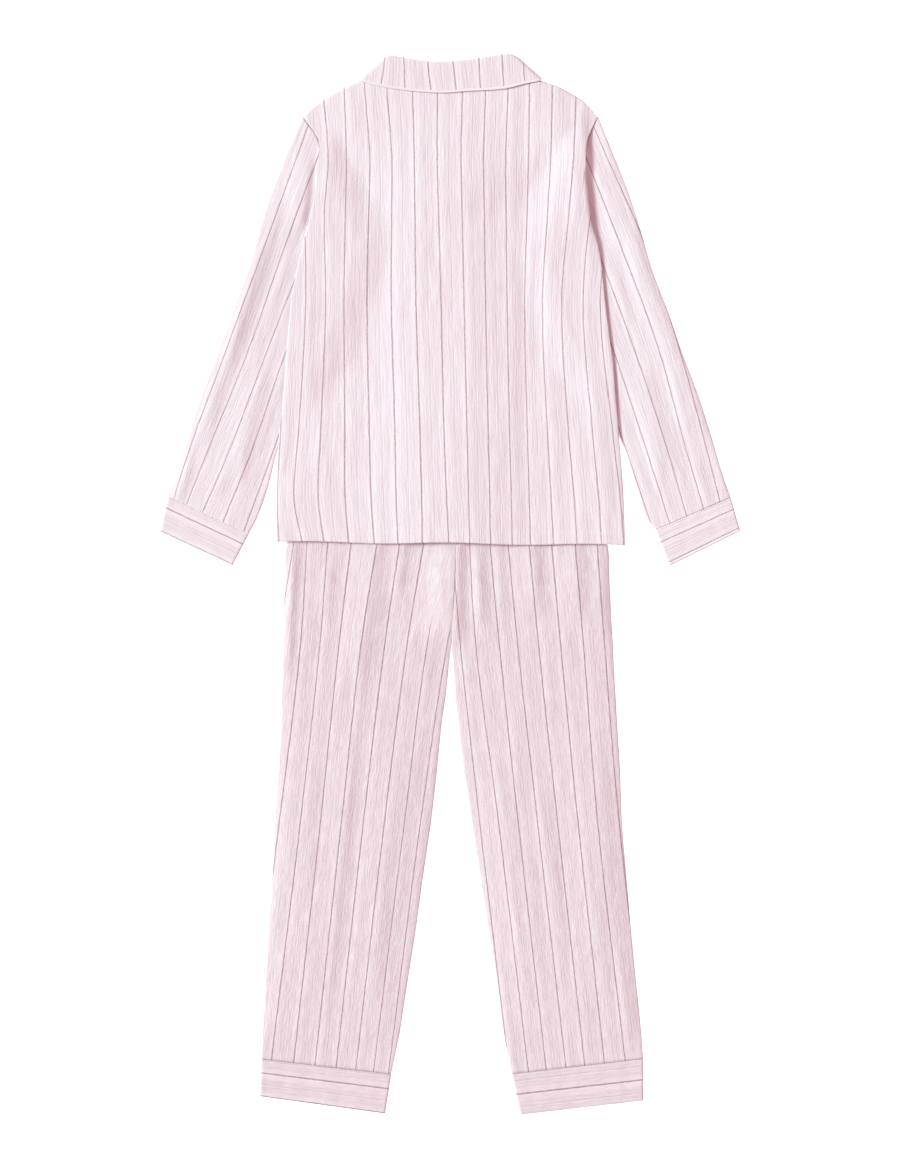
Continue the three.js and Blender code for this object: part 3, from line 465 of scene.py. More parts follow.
def on_hem(x, side):
    """Moves the lowest rows of a panel so that the first one follows the hem."""
    return side + (hem_at(x) - HEM_ROW) * np.clip(1 - (side - HEM_ROW) / HEM_EASE, 0, 1)


def crown(from_edge, high):
    """A tube of cloth stands a little higher inside its two side edges."""
    return high * (1 - np.exp(-np.maximum(from_edge, 0) / 9))


def hem_relief(above):
    """The doubled cloth of a hem, and the groove where it is sewn."""
    doubled = 0.3 * (1 - smooth(above, HEM_DEPTH - 1, HEM_DEPTH + 2))
    return doubled - 0.25 * np.exp(-(((above - HEM_DEPTH) / 1.4) ** 2))


def distances(points):
    """How far along a line its points lie."""
    return np.concatenate([[0], np.cumsum(np.linalg.norm(np.diff(points, axis=0), axis=1))])


def spread(*parts):
    """Places one after another: each part is a start, an end and a spacing."""
    runs = [np.linspace(a, b, max(2, int(np.ceil(abs(b - a) / gap)) + 1))[:-1] for a, b, gap in parts]
    return np.concatenate([*runs, [parts[-1][1]]])


SIDES = {  # the sign of x, the height of a front, the side edge of the body and the tip of the shoulder
    "left": (-1, left_front_height, body_left, TIP_LEFT),
    "right": (1, right_front_height, body_right, TIP_RIGHT),
}


# Cloth as meshes


def link(name, data):
    """A new object in the scene, from a mesh, a lamp or a camera."""
    made = bpy.data.objects.new(name, data)
    bpy.context.scene.collection.objects.link(made)
    return made


def new_mesh(name, points, faces):
    """A mesh from points in millimetres."""
    mesh = bpy.data.meshes.new(name)
    mesh.from_pydata(np.asarray(points) * METRE, [], faces)
    return mesh


def wall(name, points, cut, thickness, ring=False, plain=None, faded=None):
    """A closed wall of cloth round a grid of middle points, where nan is a place with no cloth. cut is each
    point's place on the flat cloth, in repeats, with one more column than the points where they form a ring.
    plain marks the squares of the grid that show no stripe, and faded how far it is lost at each point.
    The faces are smooth and the rim is not."""
    rows, columns = points.shape[:2]
    flat = points.reshape(-1, 3)
    steps = columns if ring else columns - 1
    r, c = [a.ravel() for a in np.meshgrid(np.arange(rows - 1), np.arange(steps), indexing="ij")]
    corners = [(r, c), (r, c + 1), (r + 1, c + 1), (r + 1, c)]
    quads = np.stack([i * columns + j % columns for i, j in corners], 1)
    cuts = cut.reshape(-1, 2)[np.stack([i * cut.shape[1] + j for i, j in corners], 1)]
    if plain is not None:
        cuts[plain.ravel(), :, 0] = PLAIN
    whole = ~np.isnan(flat[quads, 0]).any(1)
    quads, cuts = quads[whole], cuts[whole]

    a, b, d, e = [flat[quads[:, k]] for k in range(4)]
    face = np.cross(d - a, e - b)
    area = np.linalg.norm(face, axis=1, keepdims=True)
    face /= np.maximum(area, 1e-9)
    normals = np.zeros_like(flat)
    for k in range(4):
        np.add.at(normals, quads[:, k], face)
    normals /= np.maximum(np.linalg.norm(normals, axis=1, keepdims=True), 1e-9)
    least = np.ones(len(flat))
    for k in range(4):
        np.minimum.at(least, quads[:, k], (normals[quads[:, k]] * face).sum(1))
    reach = (thickness / 2 / np.maximum(least, 0.85))[:, None]
    sides = [flat + normals * reach, flat - normals * reach]
    for side in sides:
        side[:, 2] = np.maximum(side[:, 2], 0)

    used = np.unique(quads)
    number = np.full(len(flat), -1)
    number[used] = np.arange(len(used))
    outer = number[quads]
    inner = outer[:, ::-1] + len(used)
    after = [1, 2, 3, 0]
    start, end = quads.ravel(), quads[:, after].ravel()
    rim = ~np.isin(start * len(flat) + end, end * len(flat) + start)
    start, end = number[start[rim]], number[end[rim]]
    rims = np.stack([end, start, start + len(used), end + len(used)], 1)
    start_cut, end_cut = cuts.reshape(-1, 2)[rim], cuts[:, after].reshape(-1, 2)[rim]
    rim_cuts = np.stack([end_cut, start_cut, start_cut, end_cut], 1)
    faces = np.concatenate([outer, inner, rims])
    places = np.concatenate([cuts, cuts[:, ::-1], rim_cuts])

    mesh = new_mesh(name, np.concatenate([side[used] for side in sides]), faces.tolist())
    mesh.uv_layers.new(name="cut").data.foreach_set("uv", places.astype(np.float32).ravel())
    mesh.polygons.foreach_set("use_smooth", np.arange(len(faces)) < 2 * len(quads))
    if faded is not None:
        values = np.tile(faded.ravel()[used], 2).astype(np.float32)
        mesh.attributes.new("faded", "FLOAT", "POINT").data.foreach_set("value", values)
    mesh.update()
    return {
        "object": link(name, mesh),
        "outer": sides[0].reshape(rows, columns, 3),
        "inner": sides[1].reshape(rows, columns, 3),
        "area": area.sum() / 2 * METRE**2,
    }


def face_of(shell, pick, row, column):
    """The points of a wall's upper or lower face: max or min picks it by its height at one place."""
    return pick((shell["outer"], shell["inner"]), key=lambda face: face[row, column, 2])


STITCH = {"length": 2.3, "gap": 0.8, "half": 0.24}


def stitches(name, runs):
    """Lines of sewing: each stitch is a small spindle that lies along its run."""
    points, faces = [], []
    shape = [(0, 4, 2), (0, 2, 5), (0, 5, 3), (0, 3, 4), (1, 2, 4), (1, 5, 2), (1, 3, 5), (1, 4, 3)]
    for run in runs:
        run = run[~np.isnan(run).any(1)]
        length = distances(run)
        starts = np.arange(1, length[-1] - STITCH["length"], STITCH["length"] + STITCH["gap"])
        ends = [
            np.stack([np.interp(starts + along, length, run[:, k]) for k in range(3)], 1)
            for along in (0, STITCH["length"])
        ]
        middle = (ends[0] + ends[1]) / 2
        forward = ends[1] - ends[0]
        sideways = np.cross(forward, [0, 0, 1.0])
        sideways *= STITCH["half"] / np.maximum(np.linalg.norm(sideways, axis=1, keepdims=True), 1e-9)
        upward = np.array([0, 0, STITCH["half"]])
        corners = [ends[0], ends[1], middle + sideways, middle - sideways, middle + upward, middle - upward]
        base = sum(len(p) for p in points)
        points.append(np.stack(corners, 1).reshape(-1, 3))
        first = base + np.arange(len(starts))[:, None, None] * len(corners)
        faces.append((first + np.array(shape)[None]).reshape(-1, 3))
    placed = np.concatenate(points)
    placed[:, 2] = np.maximum(placed[:, 2], 0)
    mesh = new_mesh(name, placed, np.concatenate(faces).tolist())
    mesh.polygons.foreach_set("use_smooth", np.ones(len(mesh.polygons), bool))
    return link(name, mesh)


# Materials


class Nodes:
    """Adds nodes to a material and joins them."""

    def __init__(self, name):
        self.material = bpy.data.materials.new(name)
        self.material.use_nodes = True
        self.tree = self.material.node_tree
        self.shader = self.tree.nodes["Principled BSDF"]

    def put(self, node, inputs):
        """Gives a node's inputs their values, or joins them to other nodes' outputs."""
        for key, value in inputs.items():
            if isinstance(value, bpy.types.NodeSocket):
                self.tree.links.new(value, node.inputs[key])
            else:
                node.inputs[key].default_value = value

    def add(self, kind, inputs=None, **settings):
        node = self.tree.nodes.new(kind)
        for key, value in settings.items():
            setattr(node, key, value)
        self.put(node, inputs or {})
        return node

    def math(self, operation, *values):
        return self.add("ShaderNodeMath", dict(enumerate(values)), operation=operation).outputs[0]

    def times(self, first, second):
        return self.math("MULTIPLY", first, second)

    def total(self, first, *rest):
        for value in rest:
            first = self.math("ADD", first, value)
        return first

    def noise(self, vector, detail=2.0, rough=0.55):
        inputs = {"Vector": vector, "Scale": 1.0, "Detail": detail, "Roughness": rough}
        return self.add("ShaderNodeTexNoise", inputs).outputs["Fac"]

    def ramp(self, factor, stops):
        node = self.add("ShaderNodeValToRGB", {"Fac": factor})
        ends = node.color_ramp.elements
        ends[0].position, ends[0].color = stops[0][0], (*stops[0][1], 1)
        ends[1].position, ends[1].color = stops[-1][0], (*stops[-1][1], 1)
        for place, colour in stops[1:-1]:
            ends.new(place).color = (*colour, 1)
        return node.outputs["Color"]

    def spread(self, value, low, high):
        node = self.add("ShaderNodeMapRange", {"Value": value, "To Min": low, "To Max": high})
        return node.outputs["Result"]

    def blend(self, factor, first, second, kind="MIX"):
        inputs = {0: factor, 6: first, 7: second}
        return self.add("ShaderNodeMix", inputs, data_type="RGBA", blend_type=kind).outputs[2]


def from_screen(*colour):
    """A colour that is read as 0 to 255 on a screen, as the light that it stands for."""
    share = np.array(colour, float) / 255
    return tuple(np.where(share <= 0.04045, share / 12.92, ((share + 0.055) / 1.055) ** 2.4))


WHITE_THREAD = from_screen(254, 249, 251)
PALE = from_screen(252, 246, 248)
SOFT_PINK = from_screen(249, 241, 244)
GREY_PINK = from_screen(244, 235, 239)
FAINT_LINE = from_screen(234, 221, 227)
PIN = from_screen(150, 126, 138)
PIN_ROSE = from_screen(206, 160, 178)
BLACK, WHITE = (0, 0, 0), (1, 1, 1)
GROUND = [  # one repeat of the woven stripe, from the middle of a pin line to the next
    (0.0, WHITE_THREAD), (0.075, WHITE_THREAD), (0.11, PALE), (0.2, PALE), (0.26, SOFT_PINK),
    (0.34, GREY_PINK), (0.42, SOFT_PINK), (0.455, GREY_PINK), (0.475, FAINT_LINE), (0.495, FAINT_LINE),
    (0.512, WHITE_THREAD), (0.535, WHITE_THREAD), (0.56, GREY_PINK), (0.66, SOFT_PINK),
    (0.72, GREY_PINK), (0.78, SOFT_PINK), (0.84, PALE), (0.92, PALE), (0.945, WHITE_THREAD),
    (1.0, WHITE_THREAD),
]
PIN_LINE = [(0.0, WHITE), (0.018, WHITE), (0.04, BLACK), (0.96, BLACK), (0.982, WHITE), (1.0, WHITE)]
THREAD_STEP = 0.55  # millimetres from one thread of the weave to the next but one


def cloth_material(name, darker, paler, line, broken, seed):
    """Crinkled woven cotton with a pin stripe. It reads the place on the flat cloth, in repeats. darker and
    paler are the two tones that it is mottled with, line is the least and the most of the pin's colour, and
    broken says how short the streaks of the crinkle are."""
    n = Nodes(name)
    place = n.add("ShaderNodeSeparateXYZ", {0: n.add("ShaderNodeUVMap", uv_map="cut").outputs["UV"]})
    count, along = place.outputs["X"], place.outputs["Y"]

    def noise(across_scale, along_scale, shift, **settings):
        x, y = n.times(count, across_scale), n.times(along, along_scale)
        vector = n.add("ShaderNodeCombineXYZ", {"X": x, "Y": y, "Z": seed + shift}).outputs[0]
        return n.noise(vector, **settings)

    # The stripe, which wanders a little
    wobble = n.spread(noise(0.6, 2.2, 0.0), -0.02, 0.02)
    tremble = n.spread(noise(1.2, 9.0, 3.7), -0.007, 0.007)
    phase = n.math("FRACT", n.total(count, wobble, tremble))
    ground = n.ramp(phase, GROUND)
    faded = n.add("ShaderNodeAttribute", attribute_name="faded").outputs["Fac"]
    ground = n.blend(faded, ground, (*PALE, 1))
    pin_mask = n.ramp(phase, PIN_LINE)
    strength = n.spread(noise(1.0, 9.0, 8.1, detail=3.0), *line)
    kept = n.times(strength, n.math("SUBTRACT", 1.0, faded))
    pin_share = n.math("MINIMUM", n.times(pin_mask, kept), 1.0)
    rosy = n.spread(noise(1.0, 5.0, 12.3), -0.6, 1.3)
    rosy = n.math("MINIMUM", n.math("MAXIMUM", rosy, 0.0), 0.8)
    pin_colour = n.blend(rosy, (*PIN, 1), (*PIN_ROSE, 1))

    # Broken streaks of the crinkle, and wider tones, both drawn out along the stripes
    streak = n.spread(noise(12.0, 0.8 * broken, 21.0, detail=3.0, rough=0.6), -1.0, 1.0)
    broad = n.spread(noise(2.6, 0.8, 33.0), -1.0, 1.0)
    patch = n.spread(noise(5.0, 0.9 * broken, 41.0), -1.0, 1.0)
    tone = n.total(streak, n.total(n.times(broad, 0.5), n.times(patch, 0.7)))
    share = n.total(n.times(tone, 0.6), 0.5)
    toned = n.blend(1.0, ground, n.blend(share, (*darker, 1), (*paler, 1)), "MULTIPLY")

    # The weave under the crinkle
    threads = 2 * np.pi * REPEAT / THREAD_STEP
    warp, weft = [n.math("SINE", n.times(way, threads)) for way in (count, along)]
    weave = n.times(n.times(warp, weft), 0.05)
    pucker = noise(12.0, 1.3 * broken, 55.0)
    fine = noise(36.0, 5.0 * broken, 61.0, detail=1.0)
    height = n.total(n.times(pucker, 1.3), n.times(fine, 0.3), weave)
    bump = n.add("ShaderNodeBump", {"Height": height, "Strength": 0.55, "Distance": 0.0009})
    n.put(n.shader, {
        "Base Color": n.blend(pin_share, toned, pin_colour), "Normal": bump.outputs[0],
        "Roughness": n.spread(fine, 0.78, 0.92), "Specular IOR Level": 0.25,
        "Sheen Weight": 0.12, "Sheen Roughness": 0.5,
    })
    return n.material


def clouded(name, scale, detail, dark, pale):
    """The nodes of a material that noise mottles between two screen colours, and the noise."""
    n = Nodes(name)
    place = n.add("ShaderNodeTexCoord").outputs["Object"]
    scaled = n.add("ShaderNodeVectorMath", {0: place, 1: scale}, operation="MULTIPLY").outputs[0]
    cloud = n.noise(scaled, detail=detail)
    colours = [(*from_screen(*colour), 1) for colour in (dark, pale)]
    n.put(n.shader, {"Base Color": n.blend(cloud, *colours)})
    return n, cloud


def thread_material(name):
    n, _ = clouded(name, (900, 900, 900), 1.0, (240, 216, 226), (250, 236, 242))
    n.put(n.shader, {"Roughness": 0.6})
    return n.material


def button_material(name):
    n, cloud = clouded(name, (180, 180, 700), 3.0, (232, 214, 216), (252, 244, 242))
    n.put(n.shader, {"Roughness": n.spread(cloud, 0.2, 0.34), "Coat Weight": 0.4})
    return n.material


SHIRT_TONES = from_screen(236, 226, 230), from_screen(246, 241, 243)
TROUSER_TONES = from_screen(226, 208, 213), from_screen(242, 235, 237)
COTTON = {
    "shirt_cloth": cloth_material("shirt cotton", *SHIRT_TONES, (0.55, 1.05), 1.0, 0.0),
    "trouser_cloth": cloth_material("trouser cotton", *TROUSER_TONES, (0.7, 1.15), 2.0, 100.0),
}
thread = thread_material("sewing thread")
button_look = button_material("button resin")


def dress(shell, node, flat, sewing=()):
    """Puts a wall of cloth in its node's place, with its material and its sewing. It works out the size it
    was cut to, which nothing uses.
    """
    piece, slot = shell["object"], node.split("_")[0] + "_cloth"
    piece.data.materials.append(COTTON[slot])
    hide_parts(node)
    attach(piece, "root")
    extra = [stitches(f"{node}_sewing", sewing)] if sewing else []
    for line in extra:
        line.data.materials.append(thread)
        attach(line, "root")
    size = tuple(side * METRE for side in flat)


# Shirt


def panel_frame(heights):
    """Rows of a body panel, as columns: the height at its side, the angle of its turned top edge, which rows
    are that edge, and where they meet the side. Then how far the turned side edge lies in, and drops."""
    turns = EDGE_ANGLES[::-1]
    side = np.concatenate([heights, np.full(len(turns), TIP_Y)])[:, None]
    turn = np.concatenate([0 * heights, turns])[:, None]
    is_top = np.arange(len(side))[:, None] >= len(heights)
    corner_y = np.where(is_top, TIP_Y - edge_inset(1, turn), side)
    curl = np.where(is_top, 0, side_curl(side))
    inset = edge_inset(curl, EDGE_ANGLES[None], SIDE_TURN)
    return side, turn, is_top, corner_y, inset, edge_drop(curl, EDGE_ANGLES[None])


def top_turn(top_x, turn, is_top):
    """How far the turned top edge lies in from the outline, and how far it drops."""
    curl = top_curl(top_x)
    return np.where(is_top, edge_inset(curl, turn), 0), np.where(is_top, edge_drop(curl, turn), 0)


def sewn_row(side):
    """The row where the hem is sewn."""
    return np.argmin(np.abs(side[:, 0] - HEM_ROW - HEM_DEPTH))


def shirt_back():
    heights = spread((HEM_ROW, 84, 2.0), (84, 670, 4.0))
    side, turn, is_top, corner_y, inset, drop = panel_frame(heights)
    left, right = body_left(corner_y), body_right(corner_y)
    share = np.concatenate([[SEAM_SHARE], np.linspace(0, 1, 131)[1:-1], [1 - SEAM_SHARE]])[None]
    middle = mix(left + inset[:, -1:], right - inset[:, -1:], share)
    x = np.concatenate([left + inset, middle, (right - inset)[:, ::-1]], 1)
    drops = np.concatenate([0.4 * drop, 0 * middle, drop[:, ::-1]], 1)
    top_x = mix(TIP_LEFT, TIP_RIGHT, (x - left) / (right - left))
    top_inset, top_drop = top_turn(top_x, turn, is_top)
    y = on_hem(x, side) + (top_edge(top_x) - TIP_Y) * smooth(side, TOP_CLIMB, TIP_Y) - top_inset
    upper = back_height(x, y)
    lower = np.where(x < 0, left_front_height(x, y), right_front_height(x, y))
    count = stripe_count(BACK_STRIPES, x, y)
    detail = 0.7 * fold_height(BACK_CREASES, x, y) + crinkle(count, y, 11)
    detail = detail * smooth(TIP_Y + 40 - y, 0, 40) + hem_relief(y - hem_at(x))
    z = upper - reach_of_drop(lower, upper) * np.maximum(drops, top_drop)
    z = z + detail * smooth(np.minimum(x - left, right - x), 1, 14)
    shell = wall("shirt_back_cloth", np.stack([x, y, z], -1), np.stack([count, y / REPEAT], -1), CLOTH)
    sewing = [shell["outer"][sewn_row(side), 6:-6]]
    dress(shell, "shirt_back", (520, 690), sewing)


def shirt_front(side_name):
    """A front with x counted outwards, then placed on its own side. The lapel is turned under."""
    sign, height, body_side, tip_x = SIDES[side_name]
    rows = np.array(FRONT_ROWS, float)
    heights = spread((HEM_ROW, 84, 4.0), (84, 576, 6.0), (576, 660, 4.0))
    side, turn, is_top, corner_y, inset, drop = panel_frame(heights)
    edge_y = np.where(is_top, NECK_Y, np.interp(side, rows[:, 0], rows[:, 1]))
    lapel = np.where(is_top, 0, np.interp(side, rows[:, 0], rows[:, 2]))
    has_lapel = (side > LAPEL_ROWS[0]) & (side < LAPEL_ROWS[1]) & (lapel > 0.5)
    lapel = np.where(has_lapel, lapel, np.nan)
    outer_edge = sign * body_side(corner_y)
    placket = -mix(OVERLAP, BREAK_X, smooth(edge_y, BREAK_Y - BREAK_EASE, BREAK_Y))
    roll_x = mix(-BREAK_X, NECK_X, (edge_y - BREAK_Y) / (NECK_Y - BREAK_Y))
    front_edge = np.where(edge_y < BREAK_Y, placket, roll_x)
    middle = mix(outer_edge - inset[:, -1:], front_edge, np.linspace(0, 1, 46)[1:][None])
    a = np.concatenate([outer_edge - inset, middle], 1)
    drops = np.concatenate([drop, 0 * middle], 1)
    top_x = sign * mix(sign * tip_x, NECK_X, (outer_edge - a) / (outer_edge - front_edge))
    top_inset, top_drop = top_turn(top_x, turn, is_top)
    profile = (top_edge(top_x) - TIP_Y) / (top_edge(sign * NECK_X) - TIP_Y)
    y = mix(side, edge_y, profile) + (on_hem(sign * a, side) - side) - top_inset
    lower, upper = height(sign * a, y), back_height(sign * a, y)
    soft = 0.3 * fold_height(BACK_FOLDS, sign * a, y)
    soft = soft * smooth(lower, 1.2, 2.4) * smooth(outer_edge - a, 1, 14)
    z = lower + reach_of_drop(lower, upper) * np.maximum(drops, top_drop) + soft
    panel = np.stack([sign * a, y, z], -1)

    # The lapel, round the roll line and out below the front
    run, climb = NECK_X + BREAK_X, NECK_Y - BREAK_Y
    out = np.array([sign * climb, -run, 0]) / np.hypot(run, climb)
    rolled = panel[:, -1:]
    sink = (rolled[..., 2:] - CLOTH / 2) / 2 * (1 - np.cos(TURN_ANGLES))[None, :, None]
    turned = rolled - out * TURN * np.sin(TURN_ANGLES)[None, :, None] - np.array([0, 0, 1]) * sink
    leaf = rolled + out * lapel[:, :, None] * np.linspace(0, 1, 13)[None, :, None]
    leaf[..., 2] = CLOTH / 2 + 0 * lapel
    points = np.concatenate([panel, turned + 0 * lapel[:, :, None], leaf], 1)
    steps = np.linalg.norm(np.diff(points, axis=1), axis=2)
    past = np.cumsum(np.nan_to_num(steps), 1) / REPEAT
    count = np.concatenate([np.zeros((len(side), 1)), past], 1) + sign * outer_edge / REPEAT
    cut = np.stack([count, points[..., 1] / REPEAT], -1)
    shell = wall(f"shirt_front_{side_name}_cloth", points, cut, CLOTH)
    under = face_of(shell, min, 40, 20)
    facing = np.argmin(np.abs(a[30] - front_edge[30] - FACING))
    sewing = [under[sewn_row(side), 6:46], under[4:70, facing]]
    dress(shell, f"shirt_front_{side_name}", (285, 700), sewing)


def collar_leaf(edge, row, share, sign):
    """A leaf of the collar, from an end of its fall round and under to where the leaf ends."""
    along = np.array([row[2] - row[0], row[3] - row[1]])
    along = along / np.linalg.norm(along)
    out = np.array([-along[1] * sign, along[0] * sign])
    angles = np.concatenate([TURN_ANGLES, [np.pi]])
    turn = np.zeros((len(edge), len(angles), 3))
    bulge = COLLAR_TURN * smooth(share, -0.08, 0.22) * np.sin(angles)
    turn[..., :2] = edge[:, None, :2] + out * bulge[..., None]
    turn[..., 2] = mix(DOUBLE / 2, edge[:, None, 2], (1 + np.cos(angles))[None] / 2)
    shares, ends_x, ends_y = np.array(LEAF_END, float).T
    end = [sign * np.interp(share[:, 0], shares, ends_x), np.interp(share[:, 0], shares, ends_y)]
    part = np.linspace(0, 1, 19)[1:][None, :, None]
    flat = np.full((len(edge), part.shape[1], 3), DOUBLE / 2)
    flat[..., :2] = mix(edge[:, None, :2], np.stack(end, 1)[:, None], part)
    return np.concatenate([turn, flat], 1)


def shirt_collar():
    neck = np.array([NECK_Y - STAND_IN])
    stand_z = back_height(0 * neck, neck)[0]
    roll_z = stand_z + BAND_STEP
    rows = np.array(COLLAR_ROWS, float)
    rolls = curve(np.arange(len(rows)), rows)(np.linspace(0, len(rows) - 1, 73))
    share = spread((1, 0.86, 0.012), (0.86, 0, 0.045))[:, None]
    from_end = np.minimum(rolls[:, 0] - rolls[0, 0], rolls[-1, 0] - rolls[:, 0])
    rounded = share + (1 - share) * CORNER_DIP * np.exp(-from_end / CORNER_LENGTH)
    x = mix(rolls[:, 0], rolls[:, 2], rounded)
    y = mix(rolls[:, 1], rolls[:, 3], rounded)
    resting = back_height(x, y) + CLOTH / 2 + SEAM_GAP + DOUBLE / 2
    z = mix(roll_z, resting, smooth(share, 0, 0.8))
    count = stripe_count(COLLAR_STRIPES, x, y)
    waves = 0.25 * ripple(count * 2.3, y / 40, 5)
    z = z + waves * smooth(share, 0.02, 0.3) * (1 - smooth(share, 0.8, 0.9))
    lip = 0.35 * smooth(share, 0.92, 0.965) - 0.12 * np.exp(-(((share - COLLAR_SEWN) / 0.014) ** 2))
    z = z + lip * smooth(from_end, 3, 14)
    fall = np.stack([x, y, z], -1)
    left = collar_leaf(fall[:, 0], rows[0], share, -1)[:, ::-1]
    right = collar_leaf(fall[:, -1], rows[-1], share, 1)
    points = np.concatenate([left, fall, right], 1)
    steps = np.linalg.norm(np.diff(points, axis=1), axis=2) / REPEAT
    first, last = left.shape[1], left.shape[1] + fall.shape[1]
    before = count[:, :1] - np.cumsum(steps[:, :first][:, ::-1], 1)[:, ::-1]
    beyond = count[:, -1:] + np.cumsum(steps[:, last - 1:], 1)
    counts = np.concatenate([before, count, beyond], 1)
    alongs = np.repeat(share * COLLAR_DEPTH / REPEAT, points.shape[1], 1)

    # The stand, which the fall becomes at its roll: round the roll, then down to the neck
    side_gap, turns, downs = 2, len(TURN_ANGLES), 8
    kept = slice(first + side_gap, last - side_gap)
    taper = smooth(from_end[side_gap:-side_gap], 3, 26)
    roll_line = points[-1, kept]
    neck_y = top_edge(roll_line[:, 0]) + SEAM_GAP * 2
    round_y = roll_line[:, 1] + taper * TURN * np.sin(TURN_ANGLES)[:, None]
    down_y = mix(roll_line[:, 1], neck_y, np.linspace(0, 1, downs)[:, None])
    stand = np.full((turns + downs, points.shape[1], 3), np.nan)
    stand[:, kept, 0] = roll_line[:, 0]
    stand[:, kept, 1] = np.concatenate([round_y, down_y])
    stand[:, kept, 2] = stand_z
    stand[:turns, kept, 2] = mix(stand_z, roll_line[:, 2], (1 + np.cos(TURN_ANGLES))[:, None] / 2)
    stand_counts = np.repeat(counts[-1:], len(stand), 0)
    stand_along = np.repeat(-np.linspace(0.05, 0.9, len(stand))[:, None], points.shape[1], 1)
    grid = np.concatenate([points, stand])
    cut = np.stack([np.concatenate([counts, stand_counts]), np.concatenate([alongs, stand_along])], -1)
    plain = np.zeros((len(grid) - 1, grid.shape[1] - 1), bool)
    plain[:(share > COLLAR_HEM).sum()] = True
    shell = wall("shirt_collar_cloth", grid, cut, DOUBLE, plain=plain)
    sewn = (share > COLLAR_SEWN).sum()
    sewing = [face_of(shell, max, sewn, 40)[sewn, first:last]]
    dress(shell, "shirt_collar", (450, 110), sewing)


def tube(flat, thickness, step, upper):
    """A flattened tube over a grid of places: over the top from the inner edge to the outer one, round it,
    back below, and round the inner edge."""
    low = thickness / 2
    top = low + step + upper
    across = flat[:, -1:] - flat[:, :1]
    across = across / np.linalg.norm(across, axis=2, keepdims=True)

    def turned(edge, height, direction, angles):
        place = edge + direction * across * (TURN * np.sin(angles))[None, :, None]
        return np.concatenate([place, mix(low, height, (1 + np.cos(angles)) / 2)[..., None]], 2)

    below = np.concatenate([flat[:, ::-1], np.full(flat.shape[:2] + (1,), low)], 2)
    return np.concatenate([
        np.concatenate([flat, top[..., None]], 2),
        turned(flat[:, -1:], top[:, -1:], 1, TURN_ANGLES),
        below,
        turned(flat[:, :1], top[:, :1], -1, TURN_ANGLES[::-1]),
    ], 1)


def carried_on(points, count, closed):
    """Carries the count of stripes on from the columns that have one, by distance round the piece."""
    if closed:
        points = np.concatenate([points, points[:, :1]], 1)
    steps = np.linalg.norm(np.diff(points, axis=1), axis=2) / REPEAT
    way = np.sign(count[:, -1:] - count[:, :1])
    return np.concatenate([count, count[:, -1:] + way * np.cumsum(steps[:, count.shape[1] - 1:], 1)], 1)


def inset_row(row, thickness, shares):
    """Places across a row from its inner edge to its outer one, so that the wall ends on the outline."""
    outer, inner = np.array(row[:2], float), np.array(row[2:], float)
    inset = (TURN + thickness / 2) / np.linalg.norm(outer - inner)
    return inner + (outer - inner) * mix(inset, 1 - inset, shares)[:, None]


def side_distance(shares, flat):
    """How far the places of a flat tube lie from the nearer of its sides."""
    return np.minimum(shares, 1 - shares) * np.linalg.norm(flat[:, -1] - flat[:, 0], axis=1)[:, None]


def shirt_sleeve(side_name):
    sign, _, body_side, _ = SIDES[side_name]
    seam_y = np.linspace(*ARMHOLE_SEAM, 20)
    beside = np.stack([body_side(seam_y) + sign * SEEN_GAP, seam_y], 1)
    hole = np.concatenate([np.array(UNDERARM) * (sign, 1), beside])
    length = distances(hole)
    shares = np.linspace(0, 1, 49)
    armhole = np.stack([np.interp(shares * length[-1], length, hole[:, k]) for k in (0, 1)], 1)
    rows = SLEEVES[side_name]
    sections = np.stack([armhole] + [inset_row(row, CLOTH, shares) for row in rows])
    place = np.linspace(0, len(rows), 151)
    begun = mix(sections[0], sections[1], np.clip(place, 0, 1)[:, None, None])
    flat = curve(np.arange(len(sections)), sections)(place)
    flat = np.where((place < 1)[:, None, None], begun, flat)
    x, y = flat[..., 0], flat[..., 1]
    count = stripe_count(SLEEVE_STRIPES[side_name], x, y)
    along = distances(flat.mean(1))[:, None]
    past = sign * (x - body_side(y))
    armpit = smooth(y, *ARMPIT)
    clear = mix(smooth(past, 1, 8), smooth(past, *CLEAR_OF_BODY[side_name]), armpit)
    sunk = 0.5 * armpit * (1 - smooth(past, 8, 15)) * smooth(along, 6, 30)
    sunk = sunk + SHOULDER_SINK[side_name] * smooth(y, 622, 650) * (1 - smooth(along, 2, 34))
    folds = fold_height(SLEEVE_FOLDS[side_name] + SLEEVE_CREASES[side_name], x, y)
    edge = side_distance(shares, flat)
    seed = 31 if side_name == "left" else 37
    detail = crinkle(count, along + 0 * count, seed) * smooth(edge, 0, 8) * smooth(along, 0, 12)
    upper = (folds + detail) * clear + crown(edge, 0.7) * smooth(past, 10, 60) - sunk
    upper = upper + 0.9 * (1 - armpit) * smooth(past, 0, 5)
    points = tube(flat, CLOTH, LAYER_STEP, upper)
    counts = carried_on(points, count, True)
    cut = np.stack([counts, -np.repeat(along, counts.shape[1], 1) / REPEAT], -1)
    shell = wall(f"shirt_sleeve_{side_name}_cloth", points, cut, CLOTH, ring=True)
    dress(shell, f"shirt_sleeve_{side_name}", (420, 610))


